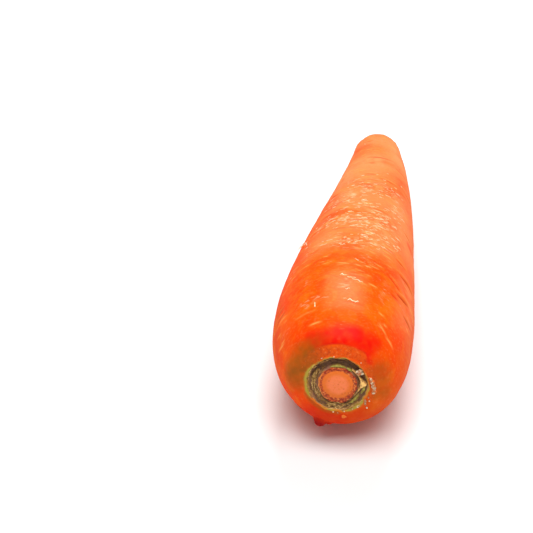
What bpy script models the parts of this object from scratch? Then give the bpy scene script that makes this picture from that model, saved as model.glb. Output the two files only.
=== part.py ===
"""A topped carrot lying on its side: the root, with the cut leaf stalk bases left in its crown.

The carrot lies along +Y with its crown towards -Y and rests on a narrow flat at z = 0. Metres, +Z up.
Each piece is turned or extruded in the carrot's own frame, where +Z points out of the crown along
the root's axis, +Y is the side that faces up, and z = 0 is the rim of the crown. An empty then
lays the pieces down.
"""
import math

import bpy
import bmesh
from mathutils import Vector

# Driving dimensions, metres
LENGTH = 0.200
RADIUS = 0.025
WIDEST_DEPTH = 0.042
CROWN_RIM_RADIUS = 0.0101
TIP_CAP_LENGTH = 0.011

# Shape of the outline between them
SHOULDER_SQUARENESS = 2.9
SHOULDER_RISE = 2.27
TAPER = 0.663
TAPER_BEND = 1.34
SINGLE_BOW = -0.00027
DOUBLE_BOW = -0.00146

# Crown: a cut core stands in a sunken ring where the leaves were attached, a little off the axis
CORE_RADIUS = 0.0053
CORE_DOME = 0.0006
COLLAR_RADIUS = 0.0064
COLLAR_RISE = 0.0001
COLLAR_DROP = 0.0002
MOAT_DEPTH = 0.0028
MOAT_FLOOR_INNER = 0.0066
MOAT_FLOOR_OUTER = 0.0098
CROWN_OFFSET = (-0.0007, -0.0002)
OFFSET_FADE_DEPTH = 0.006
STUB_SEAT = 0.0003

# How it lies
AXIS_TILT = math.radians(4.53)
AXIS_HEIGHT = 0.0288
BELLY_FLAT_DEPTH = 0.0004

# Root bud on the shoulder, near the underside
BUD_DEPTH = 0.0036
BUD_CLOCK = 203.0
BUD_RADII = (0.0021, 0.0021, 0.0028)

# Crescent plates: how thick their ends are and how worn their edges, as shares of the thickness
END_SHARE = 0.45
WORN_SHARE = 0.12

# Mesh fineness
SEGMENTS = 48
CRESCENT_STEPS = 9
SHARP_ANGLE = math.radians(35.0)
SHOULDER_RINGS = 14
BODY_RINGS = 14
TIP_RINGS = 6
MERGE_DISTANCE = 0.00001

# Cut leaf stalk bases in the sunken ring: clock angle (degrees from the top, clockwise when the crown
# is faced), angle covered, mid radius, thickness, and how far the top stands above the ring's floor
STALK_BASES = (
    (358.0, 40.0, 0.00740, 0.0009, 0.0027),
    (32.0, 20.0, 0.00740, 0.0009, 0.0025),
    (98.0, 30.0, 0.00910, 0.0010, 0.0023),
    (134.0, 36.0, 0.00850, 0.0012, 0.0024),
    (186.0, 58.0, 0.00860, 0.0014, 0.0021),
    (234.0, 30.0, 0.00780, 0.0010, 0.0022),
    (280.0, 50.0, 0.00820, 0.0014, 0.0020),
)

# Dry scales of old leaves: clock angle, angle covered, mid radius, thickness, lowest and highest depth
DRY_SCALES = (
    (78.0, 58.0, 0.00780, 0.0005, 0.0022, -0.0004),
    (57.0, 14.0, 0.00900, 0.0011, 0.0018, -0.0006),
    (87.0, 30.0, 0.01190, 0.0011, -0.0003, -0.0009),
)

COLOURS = {
    "carrot_root": ((0.90, 0.16, 0.02), 0.42),
    "leaf_stalk_base": ((0.30, 0.30, 0.07), 0.70),
    "dry_leaf_scale": ((0.72, 0.58, 0.36), 0.85),
}


def clear_scene():
    for obj in list(bpy.data.objects):
        bpy.data.objects.remove(obj, do_unlink=True)


def new_collection(name):
    collection = bpy.data.collections.new(name)
    bpy.context.scene.collection.children.link(collection)
    return collection


def principled(name):
    colour, roughness = COLOURS[name]
    material = bpy.data.materials.new(name)
    material.use_nodes = True
    shader = material.node_tree.nodes["Principled BSDF"]
    shader.inputs["Base Color"].default_value = (*colour, 1.0)
    shader.inputs["Roughness"].default_value = roughness
    shader.inputs["Metallic"].default_value = 0.0
    return material


def body_radius(depth):
    """Radius of the root at a depth below the crown's rim: a squarish shoulder, a taper and a round tip."""
    shoulder_share = min(depth / WIDEST_DEPTH, 1.0)
    shoulder = (1.0 - (1.0 - shoulder_share) ** SHOULDER_SQUARENESS) ** (1.0 / SHOULDER_RISE)
    rim = CROWN_RIM_RADIUS / RADIUS
    taper_share = max(depth - WIDEST_DEPTH, 0.0) / (LENGTH - WIDEST_DEPTH)
    taper = 1.0 - TAPER * taper_share ** TAPER_BEND
    cap_share = max(depth - (LENGTH - TIP_CAP_LENGTH), 0.0) / TIP_CAP_LENGTH
    cap = math.sqrt(max(1.0 - cap_share ** 2, 0.0))
    return RADIUS * (rim + (1.0 - rim) * shoulder) * taper * cap


def sideways_bow(depth):
    """Offset of the root's axis to the side: a slight S over its length."""
    share = depth / LENGTH
    return SINGLE_BOW * math.sin(math.pi * share) + DOUBLE_BOW * math.sin(2.0 * math.pi * share)


def crown_offset(radius, depth):
    """Sideways and upward offset that puts the crown's ring off the axis and fades out on the shoulder."""
    share = 1.0 if radius < CROWN_RIM_RADIUS else max(1.0 - depth / OFFSET_FADE_DEPTH, 0.0)
    return Vector((CROWN_OFFSET[0] * share, CROWN_OFFSET[1] * share, 0.0))


def crown_profile():
    """Points (radius, height) across the crown, from the core's centre out to the rim."""
    dome = [(CORE_RADIUS * share, CORE_DOME - (CORE_DOME - COLLAR_RISE) * share ** 2)
            for share in (0.0, 0.4, 0.75, 1.0)]
    moat = [(COLLAR_RADIUS, COLLAR_RISE - COLLAR_DROP),
            (MOAT_FLOOR_INNER, -MOAT_DEPTH),
            (MOAT_FLOOR_OUTER, -MOAT_DEPTH)]
    return dome + moat


def skin_profile():
    """Points (radius, height) down the skin, from the rim to the tip."""
    depths = [WIDEST_DEPTH * (ring / SHOULDER_RINGS) ** 2.2 for ring in range(SHOULDER_RINGS)]
    taper_end = LENGTH - TIP_CAP_LENGTH
    depths += [WIDEST_DEPTH + (taper_end - WIDEST_DEPTH) * ring / BODY_RINGS for ring in range(BODY_RINGS)]
    depths += [taper_end + TIP_CAP_LENGTH * math.sin(math.pi / 2.0 * ring / TIP_RINGS)
               for ring in range(TIP_RINGS)]
    points = [(body_radius(depth), -depth) for depth in depths]
    return points + [(0.0, -LENGTH)]


def evaluated_mesh(obj):
    graph = bpy.context.evaluated_depsgraph_get()
    return bpy.data.meshes.new_from_object(obj.evaluated_get(graph))


def turned_root(collection):
    """The whole root as a turned profile, bowed a little to the side, with its crown off centre."""
    profile = [Vector((radius, 0.0, height)) for radius, height in crown_profile() + skin_profile()]
    mesh = bpy.data.meshes.new("carrot_profile")
    mesh.from_pydata(profile, [(i, i + 1) for i in range(len(profile) - 1)], [])
    root = bpy.data.objects.new("carrot_root", mesh)
    collection.objects.link(root)
    screw = root.modifiers.new("Turn", "SCREW")
    screw.axis = "Z"
    screw.steps = SEGMENTS
    screw.render_steps = SEGMENTS
    screw.use_merge_vertices = True
    screw.merge_threshold = MERGE_DISTANCE
    root.data = evaluated_mesh(root)
    root.modifiers.clear()
    for vertex in root.data.vertices:
        depth = -vertex.co.z
        offset = crown_offset(vertex.co.xy.length, depth)
        vertex.co += offset + Vector((sideways_bow(depth), 0.0, 0.0))
    return root


def on_clock(radius, degrees):
    """Point in the crown's plane at a clock angle, with +Y at twelve and +X at three."""
    angle = math.radians(degrees)
    return Vector((radius * math.sin(angle), radius * math.cos(angle), 0.0))


def root_bud(cutters):
    """Egg-shaped bud that is joined to the shoulder and points out of it."""
    step = 0.0005
    slope = (body_radius(BUD_DEPTH + step) - body_radius(BUD_DEPTH - step)) / (2.0 * step)
    outward = on_clock(1.0, BUD_CLOCK) + Vector((0.0, 0.0, slope))
    bpy.ops.mesh.primitive_uv_sphere_add(segments=16, ring_count=10, radius=1.0)
    bud = bpy.context.object
    bud.name = "root_bud_shape"
    bud.scale = BUD_RADII
    bud.rotation_mode = "QUATERNION"
    bud.rotation_quaternion = outward.to_track_quat("Z", "Y")
    seat = on_clock(body_radius(BUD_DEPTH), BUD_CLOCK)
    bud.location = seat + Vector((sideways_bow(BUD_DEPTH), 0.0, -BUD_DEPTH))
    move_to(bud, cutters)
    return bud


def belly_block(cutters):
    """Block whose top face is the surface that the carrot lies on."""
    bpy.ops.mesh.primitive_cube_add(size=1.0)
    block = bpy.context.object
    block.name = "belly_block"
    block.dimensions = (4.0 * RADIUS, 1.5 * LENGTH, RADIUS)
    block.location = (0.0, LENGTH / 2.0, -RADIUS / 2.0)
    move_to(block, cutters)
    return block


def move_to(obj, collection):
    """Puts a helper solid among the cutters, out of the finished part."""
    for current in list(obj.users_collection):
        current.objects.unlink(obj)
    collection.objects.link(obj)
    obj.hide_render = True
    obj.display_type = "WIRE"


def add_boolean(obj, name, operation, other):
    modifier = obj.modifiers.new(name, "BOOLEAN")
    modifier.operation = operation
    modifier.solver = "EXACT"
    modifier.object = other


def crescent_outline(clock, span, radius, thickness):
    """Closed outline of a crescent that follows the crown's ring and thins to its ends."""
    shares = [2.0 * i / CRESCENT_STEPS - 1.0 for i in range(CRESCENT_STEPS + 1)]
    outer = []
    inner = []
    for share in shares:
        half = thickness / 2.0 * (END_SHARE + (1.0 - END_SHARE) * math.sqrt(1.0 - share ** 2))
        angle = clock + share * span / 2.0
        outer.append(on_clock(radius + half, angle))
        inner.append(on_clock(radius - half, angle))
    return outer + inner[::-1]


def crescent(collection, name, outline, low, high, wear):
    """Upright crescent plate between two depths below the crown's rim, as a filled 2D curve."""
    curve = bpy.data.curves.new(name, "CURVE")
    curve.dimensions = "2D"
    curve.fill_mode = "BOTH"
    curve.extrude = (low - high) / 2.0
    spline = curve.splines.new("POLY")
    spline.points.add(len(outline) - 1)
    for point, corner in zip(spline.points, outline):
        point.co = (corner.x, corner.y, 0.0, 1.0)
    spline.use_cyclic_u = True
    shape = bpy.data.objects.new(name + "_outline", curve)
    collection.objects.link(shape)
    mesh = evaluated_mesh(shape)
    bpy.data.objects.remove(shape, do_unlink=True)
    weld_caps(mesh)
    plate = bpy.data.objects.new(name, mesh)
    collection.objects.link(plate)
    plate.location = Vector((*CROWN_OFFSET, -(low + high) / 2.0))
    bevel = plate.modifiers.new("Worn edges", "BEVEL")
    bevel.width = wear
    bevel.segments = 1
    bevel.limit_method = "ANGLE"
    bevel.angle_limit = math.radians(60.0)
    return plate


def weld_caps(mesh):
    edit = bmesh.new()
    edit.from_mesh(mesh)
    bmesh.ops.remove_doubles(edit, verts=edit.verts, dist=MERGE_DISTANCE)
    edit.to_mesh(mesh)
    edit.free()


def smooth(obj):
    obj.data.shade_smooth()
    obj.data.set_sharp_from_angle(angle=SHARP_ANGLE)


def dress(obj, material):
    obj.data.materials.clear()
    obj.data.materials.append(material)


def add_stalk_bases(collection):
    material = principled("leaf_stalk_base")
    bases = []
    floor = MOAT_DEPTH - STUB_SEAT
    for number, (clock, span, radius, thickness, rise) in enumerate(STALK_BASES, start=1):
        outline = crescent_outline(clock, span, radius, thickness)
        wear = WORN_SHARE * thickness
        base = crescent(collection, f"leaf_stalk_base_{number}", outline, floor, floor - rise, wear)
        dress(base, material)
        bases.append(base)
    return bases


def add_dry_scales(collection):
    material = principled("dry_leaf_scale")
    scales = []
    for number, (clock, span, radius, thickness, low, high) in enumerate(DRY_SCALES, start=1):
        outline = crescent_outline(clock, span, radius, thickness)
        wear = WORN_SHARE * thickness
        scale = crescent(collection, f"dry_leaf_scale_{number}", outline, low, high, wear)
        dress(scale, material)
        scales.append(scale)
    return scales


def lay_down(collection, pieces):
    """Tips the carrot onto its side with its crown towards -Y, sunk by the depth of its belly flat."""
    carrier = bpy.data.objects.new("carrot", None)
    collection.objects.link(carrier)
    for piece in pieces:
        piece.parent = carrier
    carrier.rotation_euler = (math.pi / 2.0 - AXIS_TILT, 0.0, 0.0)
    carrier.location = (0.0, 0.0, AXIS_HEIGHT - BELLY_FLAT_DEPTH)
    return carrier


def centre(carrier, pieces, block):
    """Moves the carrot so that the middle of its box stands over the origin."""
    bpy.context.view_layer.update()
    places = []
    for piece in pieces:
        mesh = evaluated_mesh(piece)
        places += [piece.matrix_world @ vertex.co for vertex in mesh.vertices]
        bpy.data.meshes.remove(mesh)
    for axis in (0, 1):
        along = [place[axis] for place in places]
        middle = (min(along) + max(along)) / 2.0
        carrier.location[axis] -= middle
        block.location[axis] -= middle


def main():
    clear_scene()
    parts = new_collection("carrot")
    cutters = new_collection("cutters")
    root = turned_root(parts)
    dress(root, principled("carrot_root"))
    smooth(root)
    bud = root_bud(cutters)
    block = belly_block(cutters)
    pieces = [root] + add_stalk_bases(parts) + add_dry_scales(parts)
    carrier = lay_down(parts, pieces + [bud])
    add_boolean(root, "Root bud", "UNION", bud)
    add_boolean(root, "Belly flat", "DIFFERENCE", block)
    centre(carrier, pieces, block)


main()
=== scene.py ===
"""Looks of a topped carrot that lies on its side.

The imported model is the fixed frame. Every piece is worked out in the root's own frame and then laid down
onto it. In that frame x points right and y up when the crown is faced, and depth runs from the crown's
rim down the root to its tip. A clock angle is in degrees from the top, clockwise when the crown is faced.
"""
import logging
import math
import random
from dataclasses import dataclass, field
from enum import Enum, IntEnum

import bmesh
import bpy
import numpy as np
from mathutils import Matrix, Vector


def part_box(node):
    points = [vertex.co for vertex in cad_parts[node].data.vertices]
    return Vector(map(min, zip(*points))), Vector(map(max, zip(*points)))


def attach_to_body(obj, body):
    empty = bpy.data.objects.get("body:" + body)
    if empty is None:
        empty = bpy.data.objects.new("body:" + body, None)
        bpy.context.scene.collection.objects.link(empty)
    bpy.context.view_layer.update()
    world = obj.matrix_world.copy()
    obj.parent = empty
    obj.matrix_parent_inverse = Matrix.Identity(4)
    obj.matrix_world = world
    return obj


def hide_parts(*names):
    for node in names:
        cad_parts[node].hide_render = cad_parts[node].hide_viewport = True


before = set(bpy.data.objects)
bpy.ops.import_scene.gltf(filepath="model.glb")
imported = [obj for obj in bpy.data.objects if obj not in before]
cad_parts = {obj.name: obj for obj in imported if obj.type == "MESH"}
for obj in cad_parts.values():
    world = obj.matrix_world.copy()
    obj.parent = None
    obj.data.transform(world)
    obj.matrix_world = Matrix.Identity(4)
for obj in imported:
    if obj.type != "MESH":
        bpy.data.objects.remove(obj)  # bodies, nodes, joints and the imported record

Array = np.ndarray
Colour = tuple[float, float, float]
Socket = bpy.types.NodeSocket

MM = 0.001
BODY = "root"
FLOOR_GAP = 0.03 * MM  # keeps the flat just clear of the floor
LEAN = math.radians(4.53)  # how far the root's axis leans down towards the tip
log = logging.getLogger("carrot")


# Small helpers


def display(red: int, green: int, blue: int) -> Colour:
    """The scene-linear colour that a screen shows as these 0 to 255 values."""
    shares = (value / 255.0 for value in (red, green, blue))
    return tuple(v / 12.92 if v <= 0.04045 else ((v + 0.055) / 1.055) ** 2.4 for v in shares)


def ramp(values: Array, start: float, end: float) -> Array:
    """A smooth rise from 0 at start to 1 at end. With end below start it falls instead.

    Args:
        values: Numbers to test.
        start: Where the ramp gives 0.
        end: Where the ramp gives 1.

    Returns:
        An array of shares from 0 to 1.
    """
    share = np.clip((values - start) / (end - start), 0.0, 1.0)
    return share * share * (3.0 - 2.0 * share)


def clock_gap(clock: Array, centre: float) -> Array:
    """Degrees from a clock angle to others, between -180 and 180."""
    return (clock - centre + 180.0) % 360.0 - 180.0


def lattice_noise(points: Array, seed: int) -> Array:
    """Smooth noise between -1 and 1 that changes over about one unit.

    Args:
        points: Places, one row each.
        seed: Which noise field to read.

    Returns:
        One value per place.
    """
    cell = np.floor(points).astype(np.int64)
    blend = points - cell
    blend = blend * blend * (3.0 - 2.0 * blend)
    total = np.zeros(len(points))
    for corner in range(8):
        step = np.array([corner & 1, corner >> 1 & 1, corner >> 2 & 1])
        x, y, z = (cell + step).T
        mixed = (x * 73856093) ^ (y * 19349663) ^ (z * 83492791) ^ (seed * 2654435761)
        mixed = (mixed ^ (mixed >> 13)) * 1274126177 & 0xFFFFFFFF
        value = (mixed ^ (mixed >> 16)) % 65536 / 32767.5 - 1.0
        weight = np.prod(np.where(step == 1, blend, 1.0 - blend), axis=1)
        total += value * weight
    return total


def mesh_object(name: str, places: Array, faces: list[list[int]]) -> bpy.types.Object:
    """A smooth mesh object in the scene.

    Args:
        name: The object's name.
        places: World places of its points, one row each.
        faces: Point numbers of each face.

    Returns:
        The new object.
    """
    mesh = bpy.data.meshes.new(name)
    mesh.from_pydata(places.tolist(), [], faces)
    mesh.update()
    mesh.shade_smooth()
    piece = bpy.data.objects.new(name, mesh)
    bpy.context.scene.collection.objects.link(piece)
    return piece


def set_attribute(piece: bpy.types.Object, name: str, values: Array) -> None:
    """Stores a number or a vector on each point of a piece for its finish to read.

    Args:
        piece: The mesh object.
        name: The attribute's name.
        values: One number per point, or one row of three.
    """
    kind, key = ("FLOAT_VECTOR", "vector") if values.ndim == 2 else ("FLOAT", "value")
    attribute = piece.data.attributes.new(name, kind, "POINT")
    attribute.data.foreach_set(key, np.ascontiguousarray(values, dtype=np.float32).ravel())


def attach(piece: bpy.types.Object, nodes: tuple[str, ...] = ()) -> None:
    """Lets a piece ride on the carrot's body and hides the solids it stands for.

    Args:
        piece: The object, already in place.
        nodes: The solids that it replaces.
    """
    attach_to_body(piece, BODY)
    if nodes:
        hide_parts(*nodes)


# Node trees


class Shader:
    """A material's node tree, built a step at a time."""

    def __init__(self, name: str) -> None:
        """Starts a material with only its Principled shader.

        Args:
            name: The material's name.
        """
        self.material = bpy.data.materials.new(name)
        self.material.use_nodes = True
        self.tree = self.material.node_tree
        self.surface = self.tree.nodes["Principled BSDF"]

    def add(self, kind: str, inputs: dict | None = None, **settings: object) -> bpy.types.Node:
        """Adds a node.

        Args:
            kind: The node's type name, without its ShaderNode prefix.
            inputs: Values or sockets for its inputs, by name or number.
            **settings: The node's own properties.

        Returns:
            The new node.
        """
        node = self.tree.nodes.new("ShaderNode" + kind)
        for name, value in settings.items():
            setattr(node, name, value)
        for key, value in (inputs or {}).items():
            self.feed(node.inputs[key], value)
        return node

    def feed(self, target: Socket, value: Socket | float | tuple) -> None:
        """Links a socket to an input, or sets the input's own value.

        Args:
            target: The input.
            value: The socket to link, or the number, colour or vector to set.
        """
        if isinstance(value, bpy.types.NodeSocket):
            self.tree.links.new(value, target)
        elif isinstance(value, tuple) and target.type == "RGBA":
            target.default_value = (*value, 1.0)
        else:
            target.default_value = value

    def read(self, name: str, vector: bool = False) -> Socket:
        """Reads an attribute of the mesh as a number, or as a vector."""
        node = self.add("Attribute", attribute_name=name)
        return node.outputs["Vector" if vector else "Fac"]

    def scaled(self, vector: Socket, scale: tuple[float, float, float]) -> Socket:
        """A vector with each axis multiplied by its own factor."""
        node = self.add("VectorMath", {0: vector, 1: scale}, operation="MULTIPLY")
        return node.outputs[0]

    def noise(self, vector: Socket, scale: float, detail: float = 3.0, distortion: float = 0.0) -> Socket:
        """Noise from 0 to 1.

        Args:
            vector: Where to read it.
            scale: Waves per metre.
            detail: How many finer layers it has.
            distortion: How much it swirls.

        Returns:
            The noise's value socket.
        """
        inputs = {"Vector": vector, "Scale": scale, "Detail": detail, "Distortion": distortion}
        return self.add("TexNoise", inputs).outputs["Fac"]

    def cells(self, vector: Socket, scale: float) -> Socket:
        """Distance to the nearest of scattered points, which makes round grains."""
        return self.add("TexVoronoi", {"Vector": vector, "Scale": scale}).outputs["Distance"]

    def window(self, value: Socket, low: float, high: float, top: float = 1.0) -> Socket:
        """A smooth rise from 0 at low to top at high, or a fall where low is the larger.

        Args:
            value: The number to test.
            low: Where the window gives 0.
            high: Where the window gives top.
            top: Its greatest value.

        Returns:
            The window's socket.
        """
        if low > high:
            inputs = {"Value": value, "From Min": high, "From Max": low, "To Min": top, "To Max": 0.0}
        else:
            inputs = {"Value": value, "From Min": low, "From Max": high, "To Min": 0.0, "To Max": top}
        return self.add("MapRange", inputs, interpolation_type="SMOOTHSTEP").outputs["Result"]

    def between(self, value: Socket, low: float, high: float) -> Socket:
        """A number from 0 to 1 moved to the range from low to high."""
        return self.add("MapRange", {"Value": value, "To Min": low, "To Max": high}).outputs["Result"]

    def maths(self, operation: str, first: Socket | float, second: Socket | float) -> Socket:
        """One arithmetic step on two numbers."""
        return self.add("Math", {0: first, 1: second}, operation=operation).outputs[0]

    def mix(self, share: Socket | float, under: Socket | Colour, over: Socket | Colour) -> Socket:
        """The second colour laid over the first by a share."""
        node = self.add("Mix", {0: share, 6: under, 7: over}, data_type="RGBA")
        return node.outputs[2]

    def bump(self, height: Socket, distance: float, under: Socket | None = None) -> Socket:
        """A normal that follows a height.

        Args:
            height: The height, from 0 to 1.
            distance: What a height of 1 measures, in metres.
            under: An earlier bump that this one lies on.

        Returns:
            The normal socket.
        """
        inputs = {"Height": height, "Distance": distance, "Strength": 1.0}
        if under is not None:
            inputs["Normal"] = under
        return self.add("Bump", inputs).outputs["Normal"]

    def finish(self, colour: Socket, roughness: Socket | float, normal: Socket | None = None,
               **constants: float | tuple) -> bpy.types.Material:
        """Feeds the Principled shader and returns the material.

        Args:
            colour: Base colour.
            roughness: Roughness, as a number or a socket.
            normal: A bump's normal.
            **constants: Other inputs by name, with _ for a space.

        Returns:
            The finished material.
        """
        self.feed(self.surface.inputs["Base Color"], colour)
        self.feed(self.surface.inputs["Roughness"], roughness)
        if normal is not None:
            self.feed(self.surface.inputs["Normal"], normal)
        for name, value in constants.items():
            self.feed(self.surface.inputs[name.replace("_", " ")], value)
        return self.material


# Clock angles of what lies round the crown
COLLAR_TOP = 4.0
FLUSH_TAIL = 47.0
# Where painted shade in red lies under the crown
RED_SHADE_BELOW = 194.0
RED_SHADE_LOW_RIGHT = 165.0
GREEN_LEFT = 296.0
GREEN_RIGHT = 88.0
GREEN_BELOW = 160.0
GREEN_LOW_LEFT = 212.0
LIP_LEFT = 272.0
LIP_FAR_LEFT = 266.0
LIP_LOW_LEFT = 222.0
LIP_LOW_RIGHT = 142.0
LIP_RIGHT = 80.0
RING_LOW = 183.0
CORE_LEFT = 262.0

# Distances from the root's middle round the crown, and the shoulder's depth, in millimetres
CORE_RIM = 6.35
CORE_EDGE = 6.5
RING_EDGE = 10.12
LIP_REACH = 10.42
SHOULDER_DEPTH = 25.0

# Names of the attributes that the finishes read
OWN = "own_place"
# Red band above the collar, and painted shade in red under the crown
REDNESS_AND_SHADE = "red_band_and_painted_shade"
GREENING = "greening"
# Pale pores, and painted highlight on the ridges beside deep creases
PORES_AND_RIDGE_HIGHLIGHT = "pale_pores_and_ridge_highlight"
SCUFFS = "scuffs"
# Painted shade in the creases
SHADED_CREASES = "creases"
# Paler skin towards the tip, and painted sheen where the top and the right flank reflect the lights
PALENESS_AND_SHEEN = "paleness_and_painted_sheen"
RUSSET = "russet"
LIP = "crown_lip"
BUD = "bud_tint"
CROWN_REACH = "crown_reach"
RINGWISE = "ringwise_fibres"
CUT_END = "cut_end"
SHADE = "shade"


# Finishes


@dataclass(frozen=True)
class SkinFinish:
    """Moist waxy carrot skin: orange, redder and greener round the crown, with pale pores and scuffs; paler
    towards the tip, with painted sheen on the top and right flank, painted shade in red under the crown and
    in creases, and painted highlight beside deep creases.

    Each finish scales its noises in waves per metre.
    """

    orange: Colour = display(240, 84, 2)
    yellow_orange: Colour = display(246, 112, 10)
    deep_orange: Colour = display(238, 68, 0)
    red: Colour = display(228, 18, 4)
    olive: Colour = display(144, 80, 16)
    lip_green: Colour = display(172, 152, 58)
    russet: Colour = display(206, 78, 22)
    russet_dark: Colour = display(168, 58, 22)
    russet_pale: Colour = display(226, 124, 58)
    paleness_and_sheen: Colour = display(246, 142, 84)
    pale: Colour = display(252, 160, 80)
    scuffed: Colour = display(252, 174, 130)
    crease_shade_colour: Colour = display(192, 44, 6)
    bud: Colour = display(150, 18, 14)

    def material(self) -> bpy.types.Material:
        """Builds the skin's material.

        Returns:
            The finished material.
        """
        shader = Shader("carrot_skin")
        own = shader.read(OWN, vector=True)
        along = shader.scaled(own, (1.0, 1.0, 1.3))
        clouds = shader.noise(own, 70.0, 3.0, 0.6)
        bands = shader.noise(along, 130.0, 4.0, 0.9)
        fine = shader.noise(shader.scaled(own, (1.0, 1.0, 1.8)), 900.0, 3.0)
        colour = shader.mix(shader.window(clouds, 0.36, 0.62), self.deep_orange, self.orange)
        colour = shader.mix(shader.window(bands, 0.44, 0.66, 0.50), colour, self.yellow_orange)
        colour = shader.mix(shader.window(bands, 0.46, 0.28, 0.25), colour, self.deep_orange)
        # Painted sheen: a paler veil where the top and the right flank reflect the lights, with paler skin
        # towards the tip
        paleness_and_sheen = shader.maths("MULTIPLY", shader.read(PALENESS_AND_SHEEN), shader.window(clouds, 0.18, 0.50))
        colour = shader.mix(paleness_and_sheen, colour, self.paleness_and_sheen)
        colour = shader.mix(shader.window(fine, 0.50, 0.72, 0.22), colour, self.paleness_and_sheen)
        colour = shader.mix(shader.window(fine, 0.48, 0.28, 0.22), colour, self.deep_orange)
        blotch = shader.window(shader.noise(own, 240.0, 3.0, 0.4), 0.48, 0.62, 0.55)
        colour = shader.mix(shader.maths("MULTIPLY", shader.read(SCUFFS), blotch), colour, self.paleness_and_sheen)
        # Red band above the collar, and painted shade in red under the crown
        colour = shader.mix(shader.read(REDNESS_AND_SHADE), colour, self.red)
        colour = shader.mix(shader.read(GREENING), colour, self.olive)
        colour = self.add_russet(shader, own, colour)
        colour = shader.mix(shader.read(LIP), colour, self.lip_green)
        # Painted shade: the creases are painted darker red
        colour = shader.mix(shader.read(SHADED_CREASES), colour, self.crease_shade_colour)
        specks = shader.noise(shader.scaled(own, (1.0, 1.0, 2.4)), 430.0, 4.0, 0.3)
        scuffs = shader.maths("MULTIPLY", shader.read(SCUFFS), shader.window(specks, 0.55, 0.66))
        colour = shader.mix(scuffs, colour, self.scuffed)
        # Pale pores, and painted highlight on the ridges beside deep creases
        colour = shader.mix(shader.read(PORES_AND_RIDGE_HIGHLIGHT), colour, self.pale)
        colour = shader.mix(shader.read(BUD), colour, self.bud)
        rough = shader.between(fine, 0.34, 0.56)
        rough = shader.maths("ADD", rough, shader.maths("MULTIPLY", scuffs, 0.25))
        relief = shader.bump(bands, 0.00008)
        relief = shader.bump(fine, 0.00007, relief)
        return shader.finish(colour, rough, relief, Specular_IOR_Level=0.0, Coat_Weight=0.12,
                             Coat_Roughness=0.36, Subsurface_Weight=0.08, Subsurface_Scale=0.002,
                             Subsurface_Radius=(1.0, 0.35, 0.12))

    def add_russet(self, shader: Shader, own: Socket, colour: Socket) -> Socket:
        """Lays the collar's rough, speckled brown-orange over the skin.

        Args:
            shader: The skin's shader.
            own: The place in the root's own frame.
            colour: The skin's colour so far.

        Returns:
            The colour with the collar laid over it.
        """
        mottle = shader.noise(own, 1100.0, 3.0, 0.4)
        russet = shader.mix(shader.window(mottle, 0.50, 0.36, 0.8), self.russet, self.russet_dark)
        russet = shader.mix(shader.window(mottle, 0.60, 0.70, 0.8), russet, self.russet_pale)
        return shader.mix(shader.read(RUSSET), colour, russet)


@dataclass(frozen=True)
class CoreFinish:
    """Cut core: a pinkish orange disc with tiny dots, in a darker grainy ring."""

    flesh: Colour = display(242, 126, 74)
    flesh_edge: Colour = display(228, 112, 36)
    dot: Colour = display(196, 84, 30)
    grain: Colour = display(196, 84, 34)
    grain_dark: Colour = display(140, 44, 24)
    grain_light: Colour = display(232, 140, 72)
    edge: Colour = display(240, 150, 72)
    ring_start: float = 5.05
    ring_full: float = 5.55

    def material(self) -> bpy.types.Material:
        """Builds the cut core's material.

        Returns:
            The finished material.
        """
        shader = Shader("carrot_cut_core")
        own = shader.read(OWN, vector=True)
        reach = shader.read(CROWN_REACH)
        wobble = shader.maths("MULTIPLY", shader.noise(own, 700.0, 2.0), 0.9)
        reach = shader.maths("ADD", reach, shader.maths("SUBTRACT", wobble, 0.45))
        mottle = shader.noise(own, 1100.0, 3.0)
        dots = shader.window(shader.cells(own, 620.0), 0.26, 0.12)
        flesh = shader.mix(shader.window(reach, 2.7, 4.5), self.flesh, self.flesh_edge)
        flesh = shader.mix(shader.window(mottle, 0.46, 0.32, 0.55), flesh, self.flesh_edge)
        flesh = shader.mix(shader.maths("MULTIPLY", dots, 0.45), flesh, self.dot)
        grains = shader.cells(own, 1300.0)
        ring = shader.mix(shader.window(grains, 0.34, 0.62, 0.9), self.grain, self.grain_dark)
        ring = shader.mix(shader.window(mottle, 0.55, 0.66, 0.85), ring, self.grain_light)
        colour = shader.mix(shader.window(reach, self.ring_start, self.ring_full), flesh, ring)
        colour = shader.mix(shader.read(LIP), colour, self.edge)
        relief = shader.bump(mottle, 0.00020)
        relief = shader.bump(grains, 0.00010, relief)
        rough = shader.between(mottle, 0.45, 0.70)
        return shader.finish(colour, rough, relief, Specular_IOR_Level=0.20, Subsurface_Weight=0.10,
                             Subsurface_Scale=0.0015, Subsurface_Radius=(1.0, 0.45, 0.2))


@dataclass(frozen=True)
class HollowFinish:
    """Sunken ring of the crown: dark purplish brown, with paler fibres that run round it."""

    dark: Colour = display(156, 108, 86)
    brown: Colour = display(190, 142, 104)
    olive: Colour = display(206, 156, 74)

    def material(self) -> bpy.types.Material:
        """Builds the sunken ring's material.

        Returns:
            The finished material.
        """
        shader = Shader("carrot_crown_hollow")
        own = shader.read(OWN, vector=True)
        fibres = shader.noise(shader.read(RINGWISE, vector=True), 1.0, 2.0, 0.4)
        patches = shader.noise(own, 420.0, 3.0)
        colour = shader.mix(shader.window(fibres, 0.45, 0.68, 0.8), self.dark, self.brown)
        colour = shader.mix(shader.window(patches, 0.58, 0.72, 0.6), colour, self.olive)
        colour = shader.mix(shader.read(LIP), colour, self.olive)
        rough = shader.between(fibres, 0.70, 0.90)
        return shader.finish(colour, rough, shader.bump(fibres, 0.00030), Specular_IOR_Level=0.20)


class Freshness(Enum):
    """How much green is left in a cut leaf stalk."""

    FRESH = "fresh"
    WITHERED = "withered"


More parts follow.
